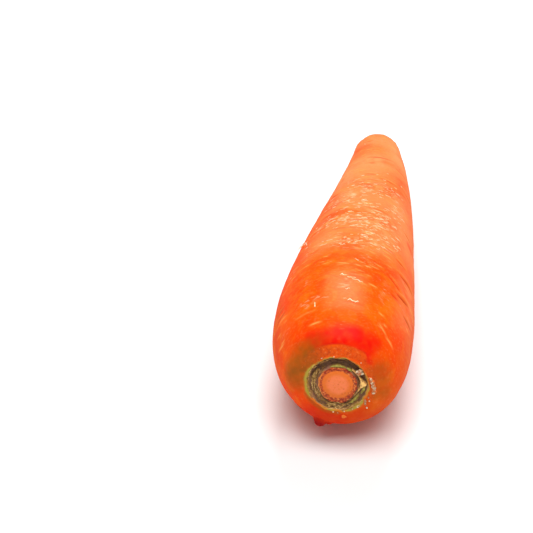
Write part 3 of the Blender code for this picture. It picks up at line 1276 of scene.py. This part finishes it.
def grown_marks(seed: int, creases: int = 90, pores: int = 260) -> list[Mark]:
    """The root's pores and creases: the clear ones listed and the rest scattered.

    Args:
        seed: Which scatter to draw.
        creases: How many shallow creases to scatter.
        pores: How many pale pores to scatter.

    Returns:
        All marks of the root.
    """
    marks = [
        Mark(43.4, 39.9, 3.6, 0.74, 0.55, 0.0, -0.62),
        Mark(55.0, 35.3, 4.6, 0.80, 0.62, 0.0, 0.28),
        Mark(59.0, 51.0, 6.5, 0.74, 0.55, 0.0, 0.05),
        Mark(50.0, 60.0, 3.6, 0.50, 0.30, 0.0),
        Mark(66.0, 27.0, 4.5, 0.50, 0.30, 0.0, 0.10),
        Mark(51.4, 7.9, 3.2, 0.42, 0.10, 0.70, -0.17),
        Mark(39.3, 10.0, 2.8, 0.42, 0.10, 0.70, -0.50),
        Mark(-60.7, 20.4, 3.4, 0.42, 0.10, 0.75, -0.17),
        Mark(-72.4, 10.1, 3.4, 0.42, 0.10, 0.75, -0.25),
        Mark(-70.0, 15.0, 2.6, 0.36, 0.08, 0.55, -0.20),
        Mark(-36.0, 44.5, 2.0, 0.35, 0.08, 0.70, -0.10),
        Mark(32.5, 59.5, 2.8, 0.35, 0.06, 0.70, 0.10),
        Mark(7.0, 52.5, 5.0, 0.45, 0.14, 0.25),
        Mark(-24.0, 60.5, 5.5, 0.35, 0.06, 0.50, -0.06),
        Mark(-36.0, 13.0, 6.0, 0.35, 0.05, 0.35, -0.04),
        Mark(37.0, 50.0, 1.6, 0.35, 0.05, 0.60),
    ]
    rng = random.Random(seed)
    for _ in range(creases):
        depth = rng.uniform(9.0, 188.0)
        marks.append(Mark(rng.uniform(0.0, 360.0), depth, rng.uniform(2.0, 6.0), rng.uniform(0.38, 0.58),
                          rng.uniform(0.06, 0.19), rng.choice((0.0, 0.0, 0.2)), rng.uniform(-0.05, 0.05)))
    for _ in range(pores):
        depth = rng.uniform(6.0, 194.0)
        marks.append(Mark(rng.uniform(0.0, 360.0), depth, rng.uniform(0.9, 3.2), rng.uniform(0.26, 0.38),
                          rng.uniform(0.02, 0.08), rng.uniform(0.35, 0.95), rng.uniform(-0.12, 0.12)))
    return marks


# What is left of the leaves


def face_outward(piece: bpy.types.Object) -> None:
    """Turns a closed mesh's faces outward.

    Args:
        piece: The mesh object.
    """
    edit = bmesh.new()
    edit.from_mesh(piece.data)
    bmesh.ops.recalc_face_normals(edit, faces=edit.faces)
    edit.to_mesh(piece.data)
    edit.free()


@dataclass(frozen=True)
class Ribbon:
    """An upright ribbon of tissue that follows the ring through stations.

    Each station holds a clock angle in degrees, and in millimetres the distance from the root's middle, the
    width and the depth of the top.
    """

    stations: tuple[tuple[float, float, float, float], ...]
    foot: float = 1.9
    least_width: float = 0.12
    ragged: float = 0.15
    rough: float = 0.06
    sides: int = 16
    steps: int = 9

    def own_points(self, shape: RootShape, seed: int) -> tuple[Array, Array]:
        """The ribbon's skin in the root's own frame.

        Args:
            shape: The root's outline.
            seed: Which noise shapes its ragged edge and its ribs.

        Returns:
            Places of all loops, one after another, and how near each is to the cut end.
        """
        line = smooth_line(np.array(self.stations), self.steps)
        turn = np.linspace(0.0, 2.0 * np.pi, self.sides, endpoint=False)
        sideways = np.tile(np.sign(np.cos(turn)) * np.abs(np.cos(turn)) ** 0.6, len(line))
        upward = np.tile(np.sign(np.sin(turn)) * np.abs(np.sin(turn)) ** 0.6, len(line))
        clock, middle, width, top = np.repeat(line, self.sides, axis=0).T
        mouth = np.stack([clock / 2.5, sideways * 1.3, np.zeros_like(clock)], 1)
        top = top + self.ragged * lattice_noise(mouth, seed)
        rise = (upward + 1.0) / 2.0
        half = np.maximum(width, self.least_width) / 2.0
        rib = np.stack([clock * 0.8, rise * 1.2, sideways], 1)
        reach = middle + half * sideways + self.rough * lattice_noise(rib, seed + 1)
        level = self.foot + (top - self.foot) * rise + self.rough * lattice_noise(rib * 1.9, seed + 2)
        own = shape.on_ring(clock, reach * MM, level * MM)
        return own, ramp(rise, 0.70, 0.95)

    def piece(self, name: str, shape: RootShape, lie: Lie, seed: int) -> bpy.types.Object:
        """Builds the ribbon as an object and stores what its finish reads.

        Args:
            name: The object's name.
            shape: The root's outline.
            lie: How the carrot lies.
            seed: Which noise it takes.

        Returns:
            The ribbon's object.
        """
        own, cut = self.own_points(shape, seed)
        built = mesh_object(name, lie.lay(own), tube_faces(len(own) // self.sides, self.sides))
        face_outward(built)
        set_attribute(built, OWN, own)
        set_attribute(built, CUT_END, cut)
        return built


def tube_faces(loops: int, sides: int, start: int = 0) -> list[list[int]]:
    """Quads between a tube's loops and a cap over each end.

    Args:
        loops: How many loops it has.
        sides: Points in each loop.
        start: Number of its first point.

    Returns:
        Point numbers of each face.
    """
    faces = []
    for loop in range(loops - 1):
        base = start + loop * sides
        for side in range(sides):
            ahead = (side + 1) % sides
            faces.append([base + side, base + ahead, base + ahead + sides, base + side + sides])
    last = start + (loops - 1) * sides
    return faces + [list(range(start, start + sides))[::-1], list(range(last, last + sides))]


@dataclass(frozen=True)
class StalkBase:
    """What is left of one leaf stalk."""

    freshness: Freshness
    ribbon: Ribbon


@dataclass
class LeafStalkBases:
    """The cut leaf stalks that stand in the crown's ring."""

    shape: RootShape
    lie: Lie
    bases: tuple[StalkBase, ...] = (
        StalkBase(Freshness.FRESH, Ribbon((
            (-25, 6.85, 0.2, 0.5), (-14, 6.92, 0.7, 0.10), (-4, 7.02, 0.95, -0.1), (6, 7.0, 0.75, -0.05),
            (16, 6.95, 0.6, 0.1), (22, 6.9, 0.2, 0.5)))),
        StalkBase(Freshness.FRESH, Ribbon((
            (24, 6.95, 0.2, 0.4), (30, 7.0, 0.75, 0.0), (36, 7.05, 0.8, 0.0), (43, 6.95, 0.2, 0.5)))),
        StalkBase(Freshness.FRESH, Ribbon((
            (88, 9.35, 0.2, 0.6), (94, 9.2, 0.65, 0.1), (100, 9.0, 0.85, 0.0), (107, 8.8, 0.65, 0.1),
            (114, 8.65, 0.2, 0.6)))),
        StalkBase(Freshness.FRESH, Ribbon((
            (116, 8.0, 0.3, 0.8), (125, 8.1, 0.8, 0.3), (134, 8.3, 1.0, 0.2), (144, 8.4, 0.9, 0.3),
            (153, 8.5, 0.3, 0.7)), ragged=0.3)),
        StalkBase(Freshness.WITHERED, Ribbon((
            (157, 8.7, 0.4, 1.1), (170, 8.8, 1.0, 0.6), (182, 8.9, 1.2, 0.5), (196, 8.8, 1.0, 0.6),
            (208, 8.6, 0.8, 0.8), (215, 8.4, 0.3, 1.2)), ragged=0.45, rough=0.14)),
        StalkBase(Freshness.WITHERED, Ribbon((
            (219, 8.0, 0.3, 1.2), (228, 7.9, 0.8, 0.7), (238, 7.8, 0.8, 0.7), (249, 7.8, 0.3, 1.2)),
            ragged=0.4, rough=0.14)),
        StalkBase(Freshness.WITHERED, Ribbon((
            (255, 8.2, 0.3, 1.3), (266, 8.2, 0.9, 0.8), (278, 8.3, 1.2, 0.6), (290, 8.3, 1.1, 0.6),
            (300, 8.2, 0.8, 0.9), (307, 8.2, 0.3, 1.3)), ragged=0.45, rough=0.14)),
    )

    def build(self) -> list[bpy.types.Object]:
        """Builds and dresses every stalk base.

        Returns:
            Their objects.
        """
        pieces = []
        for number, base in enumerate(self.bases, start=1):
            name = f"leaf_stalk_{number}"
            piece = base.ribbon.piece(name, self.shape, self.lie, 40 + 3 * number)
            piece.data.materials.append(StalkFinish().material(name, base.freshness))
            attach(piece, (f"leaf_stalk_base_{number}",))
            pieces.append(piece)
        return pieces


@dataclass
class GrainMesh:
    """Many rough closed grains gathered into one mesh."""

    lie: Lie
    edit: bmesh.types.BMesh = field(default_factory=bmesh.new)
    own: list[Array] = field(default_factory=list)
    shades: list[float] = field(default_factory=list)

    def add(self, own: Array, size: float, shade: float, flatness: float = 0.6, fineness: int = 2) -> None:
        """Adds a grain.

        Args:
            own: Its middle in the root's own frame.
            size: Its radius in millimetres.
            shade: Its place between dark and pale.
            flatness: Its height over its width.
            fineness: How often its sphere is divided.
        """
        made = bmesh.ops.create_icosphere(self.edit, subdivisions=fineness, radius=1.0)
        points = np.array([vertex.co[:] for vertex in made["verts"]])
        points *= (1.0 + 0.42 * lattice_noise(points * 1.7 + own * 5000.0, 61))[:, None]
        points *= size * MM * np.array([1.0, 1.0, flatness])
        places = own + points
        for vertex, place in zip(made["verts"], self.lie.lay(places)):
            vertex.co = place
        self.own.append(places)
        self.shades += [shade] * len(places)

    def piece(self, name: str) -> bpy.types.Object:
        """Builds the gathered grains as one object.

        Args:
            name: The object's name.

        Returns:
            The object.
        """
        mesh = bpy.data.meshes.new(name)
        self.edit.to_mesh(mesh)
        self.edit.free()
        mesh.shade_smooth()
        built = bpy.data.objects.new(name, mesh)
        bpy.context.scene.collection.objects.link(built)
        set_attribute(built, OWN, np.vstack(self.own))
        set_attribute(built, SHADE, np.array(self.shades))
        return built


@dataclass
class DryScales:
    """Dry leftovers of old leaves: a thin sheath with a flap, a crumpled lump and a rough strip.

    The lump holds its clock angle, distance from the root's middle and size; the strip's ends hold the
    first two. All are in degrees and millimetres.
    """

    body: RootBody
    seed: int = 37
    sheath: Ribbon = Ribbon(((39, 7.45, 0.16, 0.30), (50, 7.6, 0.24, 0.05), (60, 7.75, 0.28, 0.0),
                             (70, 7.95, 0.34, -0.05), (77, 8.2, 0.8, -0.2), (82, 8.5, 1.6, -0.3),
                             (86, 8.7, 2.2, -0.35), (90, 8.6, 2.0, -0.25), (94, 8.2, 1.0, -0.1),
                             (99, 7.75, 0.36, 0.1), (106, 7.45, 0.26, 0.2), (113, 7.3, 0.16, 0.5)),
                            ragged=0.05, rough=0.03)
    lump: tuple[float, float, float] = (55.0, 8.9, 0.62)
    lump_grains: int = 26
    strip_start: tuple[float, float] = (72.0, 11.3)
    strip_end: tuple[float, float] = (102.0, 12.7)
    strip_grains: int = 95

    def build(self) -> list[bpy.types.Object]:
        """Builds and dresses every scale.

        Returns:
            Their objects.
        """
        shape, lie = self.body.shape, self.body.lie
        sheath = self.sheath.piece("dry_scale_1", shape, lie, 83)
        sheath.data.materials.append(DryFinish().material("dry_scale_1"))
        attach(sheath, ("dry_leaf_scale_1",))
        rng = random.Random(self.seed)
        pieces = [sheath]
        for number, grains in ((2, self.build_lump(rng)), (3, self.build_strip(rng))):
            piece = grains.piece(f"dry_scale_{number}")
            piece.data.materials.append(CrumbFinish().material(f"dry_scale_{number}"))
            attach(piece, (f"dry_leaf_scale_{number}",))
            pieces.append(piece)
        return pieces

    def build_lump(self, rng: random.Random) -> GrainMesh:
        """Gathers the crumpled lump that bridges the ring at its upper right.

        Args:
            rng: Draws its grains.

        Returns:
            The lump's grains.
        """
        grains = GrainMesh(self.body.lie)
        clock, radius, size = self.lump
        for _ in range(self.lump_grains):
            turn, reach = rng.uniform(-5.5, 5.0), radius + rng.uniform(-0.75, 0.8)
            top = rng.uniform(-0.3, 0.6)
            own = self.body.shape.on_ring(np.array([clock + turn]), reach * MM, top * MM)[0]
            grain = size * rng.uniform(0.45, 0.9)
            # Painted highlight: the higher a grain lies, the paler it is
            grains.add(own, grain, 0.62 + 0.5 * top + rng.uniform(-0.1, 0.25), flatness=0.8, fineness=3)
        return grains

    def build_strip(self, rng: random.Random) -> GrainMesh:
        """Gathers the rough strip on the collar at the right.

        Args:
            rng: Draws its grains.

        Returns:
            The strip's grains.
        """
        grains = GrainMesh(self.body.lie)
        for _ in range(self.strip_grains):
            share = rng.random()
            clock, radius = (a + share * (b - a) for a, b in zip(self.strip_start, self.strip_end))
            wide, lift = 0.22 + 0.18 * share, rng.uniform(0.0, 0.25)
            clock, radius = clock + rng.gauss(0.0, 0.8), radius + rng.uniform(-wide, wide)
            own = self.body.beside_ring(np.array([clock]), np.array([radius]), lift)[0]
            grain = rng.uniform(0.28, 0.44) + 0.12 * share
            # Painted highlight: the higher a grain lies, the paler it is
            grains.add(own, grain, 0.02 + 2.4 * lift + rng.gauss(0.0, 0.16), fineness=3)
        return grains


# Strands: fibres, torn skin, painted glints and rootlets


@dataclass
class StrandMesh:
    """Many thin closed tubes gathered into one mesh."""

    lie: Lie
    sides: int = 6
    own: list[Array] = field(default_factory=list)
    faces: list[list[int]] = field(default_factory=list)
    shades: list[float] = field(default_factory=list)

    def add(self, path: Array, radii: Array, shade: float = 0.5, squash: float = 1.0) -> None:
        """Adds a tube along a path.

        Args:
            path: Own places along its middle, one row each.
            radii: Its radius at each of them.
            shade: Its place between dark and pale.
            squash: Height over width of its section, measured away from the root's middle.
        """
        along = np.gradient(path, axis=0)
        along /= np.linalg.norm(along, axis=1)[:, None]
        out = path * np.array([1.0, 1.0, 0.0])
        out -= (out * along).sum(1)[:, None] * along
        out /= np.linalg.norm(out, axis=1)[:, None]
        aside = np.cross(along, out)
        turn = np.linspace(0.0, 2.0 * np.pi, self.sides, endpoint=False)
        across, upward = np.cos(turn)[None, :, None], squash * np.sin(turn)[None, :, None]
        section = across * aside[:, None] + upward * out[:, None]
        self.faces += tube_faces(len(path), self.sides, len(self.shades))
        self.own.append((path[:, None] + radii[:, None, None] * section).reshape(-1, 3))
        self.shades += [shade] * (len(path) * self.sides)

    def piece(self, name: str) -> bpy.types.Object:
        """Builds the gathered tubes as one object.

        Args:
            name: The object's name.

        Returns:
            The object.
        """
        own = np.vstack(self.own)
        built = mesh_object(name, self.lie.lay(own), self.faces)
        face_outward(built)
        set_attribute(built, OWN, own)
        set_attribute(built, SHADE, np.array(self.shades))
        return built


@dataclass
class CrownFibres:
    """Frayed strands in the ring: some run round it, others stand up among the stalk bases."""

    body: RootBody
    seed: int = 5
    round_count: int = 260
    upright_count: int = 190
    tuft_count: int = 26
    rim_count: int = 130
    foot: float = 1.9

    def build(self) -> bpy.types.Object:
        """Builds the strands as one object.

        Returns:
            The object.
        """
        rng = random.Random(self.seed)
        strands = StrandMesh(self.body.lie, 5)
        share = np.linspace(0.0, 1.0, 9)
        for _ in range(self.round_count):
            start, turn = rng.uniform(0.0, 360.0), rng.uniform(10.0, 38.0)
            shut = self.shut(start + turn / 2.0)
            radius = rng.uniform(7.2, 9.7)
            reach = radius + rng.uniform(-0.5, 0.5) * share + 0.10 * np.sin(share * rng.uniform(4.0, 9.0))
            level = rng.uniform(1.2, 1.7) - rng.uniform(0.0, 1.0) * shut
            path = self.body.shape.on_ring(start + turn * share, reach * MM, level * MM)
            radii = MM * rng.uniform(0.06, 0.13) * np.sqrt(1.0 - (2.0 * share - 1.0) ** 4 * 0.9)
            outside = max(radius - 9.0, 0.0)
            strands.add(path, radii, rng.uniform(0.0, 0.30) + shut * rng.uniform(0.0, 0.75) - 1.2 * outside)
        for _ in range(self.upright_count):
            clock = rng.choice((rng.gauss(276.0, 20.0), rng.gauss(188.0, 22.0), rng.uniform(120.0, 320.0)))
            radius = rng.uniform(7.4, 9.2)
            top = rng.uniform(-0.15, 0.9)
            path = self.body.shape.on_ring(clock + rng.gauss(0.0, 9.0) * share ** 2,
                                           (radius + rng.gauss(0.0, 0.45) * share) * MM,
                                           (self.foot + (top - self.foot) * share) * MM)
            strands.add(path, MM * rng.uniform(0.07, 0.16) * (1.0 - 0.6 * share), rng.uniform(0.2, 1.15))
        for _ in range(self.tuft_count):
            clock, radius = rng.gauss(RING_LOW, 13.0), rng.uniform(8.0, 10.4)
            path = self.body.shape.on_ring(clock + rng.gauss(0.0, 8.0) * share,
                                           (radius + rng.gauss(0.0, 0.6) * share) * MM,
                                           (0.9 - rng.uniform(0.6, 1.2) * share) * MM)
            strands.add(path, MM * rng.uniform(0.10, 0.21) * (1.0 - 0.5 * share), rng.uniform(0.55, 1.35))
        for _ in range(self.rim_count):
            clock = rng.choice((rng.gauss(274.0, 22.0), rng.gauss(141.0, 12.0), rng.uniform(0.0, 360.0)))
            turn = rng.uniform(3.0, 13.0)
            radius = rng.uniform(9.75, 10.75)
            level = rng.uniform(-0.28, 0.10) + 0.6 * max(10.1 - radius, 0.0)
            reach = radius + rng.uniform(-0.35, 0.35) * share
            path = self.body.shape.on_ring(clock + turn * share, reach * MM, level * MM)
            strands.add(path, MM * rng.uniform(0.05, 0.11) * (1.0 - 0.7 * share), rng.uniform(0.1, 1.05))
        piece = strands.piece("crown_fibres")
        piece.data.materials.append(StrandFinish().material())
        attach(piece)
        return piece

    def shut(self, clock: float) -> float:
        """How full of tissue the ring is at a clock angle: least at the top."""
        return float(ramp(np.array([abs(clock_gap(clock, 5.0))]), 60.0, 100.0)[0])


class Stroke(Enum):
    """Shapes of the torn bits of skin and the painted glints."""

    DASH = "dash"
    HOOK = "hook"
    CURL = "curl"


@dataclass
class TornSkinAndGlints:
    """Whitish bits on the root: painted glints on the top near the crown, shaped as bits of torn, damp skin,
    and bits of torn skin over the top of the middle.

    Each clear one holds its shape and the clock angle, depth, length and radius, in degrees and millimetres.
    """

    body: RootBody
    seed: int = 11
    scatter_count: int = 150
    taper: tuple[float, ...] = (0.3, 0.7, 1.0, 0.85, 1.0, 0.8, 0.95, 0.6, 0.25)
    upright_clock: float = -24.5
    upright_depths: tuple[float, float] = (16.8, 14.2)
    # Painted glints on the top near the crown, drawn as torn skin
    clear_ones: tuple[tuple[Stroke, float, float, float, float], ...] = (
        (Stroke.HOOK, -1.5, 31.2, 2.6, 0.26),
        (Stroke.DASH, 3.6, 29.9, 2.0, 0.28),
        (Stroke.DASH, 8.5, 29.0, 3.0, 0.22),
        (Stroke.DASH, 12.5, 28.5, 1.8, 0.20),
        (Stroke.DASH, 7.0, 30.2, 1.3, 0.16),
        (Stroke.CURL, 2.5, 22.6, 1.4, 0.14),
        (Stroke.DASH, 1.0, 17.1, 1.2, 0.15),
        (Stroke.HOOK, 7.5, 16.2, 3.6, 0.27),
        (Stroke.CURL, 10.8, 16.3, 1.4, 0.18),
    )

    def stroke(self, kind: Stroke, clock: float, depth: float, length: float) -> Array:
        """Own places along one of the whitish bits.

        Args:
            kind: Its shape.
            clock: Clock angle of its middle.
            depth: Depth of its middle, in millimetres.
            length: Its length, in millimetres.

        Returns:
            Places along it, one row each.
        """
        share = np.linspace(-0.5, 0.5, len(self.taper))
        along = {
            Stroke.DASH: 0.10 * np.sin(share * 9.0),
            Stroke.HOOK: 0.9 * np.exp(-((share + 0.25) / 0.14) ** 2),
            Stroke.CURL: 0.45 * np.sin(share * 2.0 * np.pi),
        }[kind]
        radius = float(self.body.shape.radius_at(np.array(depth * MM))) / MM
        return self.body.place(clock + np.degrees(share * length / radius), depth + along, 0.03)

    def build(self) -> bpy.types.Object:
        """Builds the painted glints and the torn bits as one object.

        Returns:
            The object.
        """
        rng = random.Random(self.seed)
        strands = StrandMesh(self.body.lie, 6)
        taper = np.array(self.taper)
        # Painted glints: white bits where the top near the crown catches the light, and the upright dash
        for kind, clock, depth, length, radius in self.clear_ones:
            strands.add(self.stroke(kind, clock, depth, length), radius * MM * taper, squash=0.55)
        clocks = np.full(len(taper), self.upright_clock)
        upright = self.body.place(clocks, np.linspace(*self.upright_depths, len(taper)), 0.03)
        strands.add(upright, 0.25 * MM * taper, squash=0.55)
        for _ in range(self.scatter_count):
            clock = rng.gauss(8.0, 22.0)
            depth = rng.triangular(52.0, 140.0, 78.0)
            kind = rng.choice((Stroke.DASH, Stroke.DASH, Stroke.CURL))
            path = self.stroke(kind, clock, depth, rng.uniform(0.6, 2.8))
            strands.add(path, rng.uniform(0.08, 0.18) * MM * taper, squash=0.5)
        piece = strands.piece("torn_skin_and_glints")
        piece.data.materials.append(FleckFinish().material("torn_skin_and_glints"))
        attach(piece)
        return piece


@dataclass
class Rootlets:
    """Fine dried side roots, each a short hair out of a pore.

    Each clear one holds its foot's clock angle and depth and its length, in degrees and millimetres.
    """

    body: RootBody
    seed: int = 23
    short_count: int = 14
    clear_ones: tuple[tuple[float, float, float], ...] = (
        (-48.0, 71.0, 9.0),
        (-50.0, 74.0, 7.0),
        (-56.0, 77.0, 5.0),
    )

    def build(self) -> bpy.types.Object:
        """Builds the hairs as one object.

        Returns:
            The object.
        """
        rng = random.Random(self.seed)
        spots = list(self.clear_ones)
        for _ in range(self.short_count):
            spots.append((rng.uniform(0.0, 360.0), rng.uniform(30.0, 185.0), rng.uniform(0.8, 1.8)))
        strands = StrandMesh(self.body.lie, 5)
        share = np.linspace(0.0, 1.0, 15)
        for clock, depth, length in spots:
            lift = 0.14 * length * share ** 1.6 - 0.05
            bend = rng.uniform(-0.12, 0.12) * np.sin(np.pi * share) + 0.03 * np.sin(share * 9.0 + depth)
            turn = clock - np.degrees((0.75 * share + bend) * length / 21.0)
            path = self.body.place(turn, depth + length * (rng.uniform(0.45, 0.65) * share - bend), lift)
            strands.add(path, MM * (0.16 - 0.11 * share))
        piece = strands.piece("rootlets")
        piece.data.materials.append(FleckFinish(warm=display(250, 170, 100)).material("rootlet"))
        attach(piece)
        return piece


@dataclass
class Crumbs:
    """Small dry crumbs and specks on the collar round the ring.

    Each clear one holds its clock angle, its distance from the root's middle and its radius.
    """

    body: RootBody
    seed: int = 31
    small_count: int = 70
    clear_ones: tuple[tuple[float, float, float], ...] = (
        (122.0, 11.3, 0.46), (127.0, 12.0, 0.36), (131.0, 13.4, 0.36), (118.0, 12.4, 0.26),
        (112.0, 11.4, 0.32), (125.0, 11.7, 0.34), (120.0, 10.8, 0.38), (140.0, 10.9, 0.34),
        (150.0, 10.8, 0.30), (166.0, 10.9, 0.28), (186.0, 11.1, 0.30), (178.0, 11.4, 0.24),
        (72.0, 11.1, 0.24), (40.0, 11.8, 0.20), (330.0, 11.3, 0.24), (352.0, 10.9, 0.20),
        (136.0, 11.0, 0.30))
    orange_speck: tuple[float, float, float] = (169.0, 13.2, 0.75)

    def build(self) -> bpy.types.Object:
        """Builds the crumbs as one object.

        Returns:
            The object.
        """
        rng = random.Random(self.seed)
        grains = GrainMesh(self.body.lie)
        for clock, radius, size in self.clear_ones:
            own = self.body.beside_ring(np.array([clock]), np.array([radius]), 0.1)[0]
            grains.add(own, size, rng.uniform(0.5, 1.0))
        clock, radius, size = self.orange_speck
        own = self.body.beside_ring(np.array([clock]), np.array([radius]), 0.0)[0]
        grains.add(own, size, -0.4, flatness=0.35, fineness=3)
        for _ in range(self.small_count):
            clock, radius = rng.gauss(5.0, 40.0), rng.uniform(11.0, 14.6)
            own = self.body.beside_ring(np.array([clock]), np.array([radius]), 0.02)[0]
            grains.add(own, rng.uniform(0.05, 0.12), rng.uniform(0.0, 0.55))
        piece = grains.piece("crown_crumbs")
        piece.data.materials.append(CrumbFinish().material("crown_crumb"))
        attach(piece)
        return piece


# Studio


@dataclass(frozen=True)
class Studio:
    """Plain white floor, soft light from above and behind, and the camera."""

    lie: Lie
    camera_offset: tuple[float, float, float] = (0.0325, -0.4622, 0.3420)
    azimuth: float = 7.08
    pitch: float = 32.52
    lens: float = 114.82
    sensor: float = 36.0
    floor_size: float = 6.0

    def build(self) -> None:
        """Builds the floor, the lights, the surroundings and the camera."""
        self.add_camera()
        self.add_floor()
        self.add_world()
        self.add_light("back_window", 12.0, (0.0, 1.10, 1.05), 0.55)
        self.add_light("ceiling", 24.0, (0.05, -0.40, 1.40), 1.2)
        settings = bpy.context.scene.view_settings
        settings.view_transform = "Standard"
        settings.look = "None"

    def add_camera(self) -> None:
        """Puts the camera in front of the crown, looking down the root."""
        data = bpy.data.cameras.new("camera")
        data.lens = self.lens
        data.sensor_width = self.sensor
        data.clip_start = 0.01
        camera = bpy.data.objects.new("camera", data)
        camera.location = Vector(self.lie.origin) + Vector(self.camera_offset)
        camera.rotation_euler = (math.radians(90.0 - self.pitch), 0.0, math.radians(self.azimuth))
        bpy.context.scene.collection.objects.link(camera)
        bpy.context.scene.camera = camera

    def add_floor(self) -> None:
        """Lays a plain white floor under the carrot."""
        half = self.floor_size / 2.0
        corners = np.array([(-half, -half, 0.0), (half, -half, 0.0), (half, half, 0.0), (-half, half, 0.0)])
        floor = mesh_object("floor", corners, [[0, 1, 2, 3]])
        shader = Shader("floor")
        grain = shader.noise(shader.add("TexCoord").outputs["Object"], 40.0, 2.0)
        colour = shader.mix(grain, (0.80, 0.795, 0.79), (0.82, 0.82, 0.82))
        floor.data.materials.append(shader.finish(colour, 0.6, Specular_IOR_Level=0.2))

    def add_world(self) -> None:
        """Surrounds the carrot with even white light."""
        world = bpy.data.worlds.new("surroundings")
        world.use_nodes = True
        background = world.node_tree.nodes["Background"]
        background.inputs["Color"].default_value = (1.0, 1.0, 1.0, 1.0)
        background.inputs["Strength"].default_value = 0.34
        bpy.context.scene.world = world

    def add_light(self, name: str, power: float, place: tuple[float, float, float], size: float) -> None:
        """Hangs a square soft light that faces the carrot.

        Args:
            name: The light's name.
            power: Its power in watts.
            place: Where it hangs.
            size: The length of its side.
        """
        data = bpy.data.lights.new(name, "AREA")
        data.energy = power
        data.size = size
        light = bpy.data.objects.new(name, data)
        light.location = place
        light.rotation_euler = (-Vector(place)).to_track_quat("-Z", "Y").to_euler()
        bpy.context.scene.collection.objects.link(light)


def main() -> None:
    """Builds every piece in order and reports each."""
    logging.basicConfig(level=logging.INFO, format="%(name)s: %(message)s")
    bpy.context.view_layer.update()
    shape = RootShape()
    lie = Lie.on_frame(shape, LEAN)
    Studio(lie).build()
    body = RootBody(shape, lie, marks=grown_marks(2))
    pieces = [body.build(), *LeafStalkBases(shape, lie).build(), *DryScales(body).build()]
    pieces += [maker(body).build() for maker in (CrownFibres, TornSkinAndGlints, Rootlets, Crumbs)]
    for piece in pieces:
        log.info("%s: %d faces", piece.name, len(piece.data.polygons))
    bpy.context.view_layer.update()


if __name__ == "__main__":
    main()
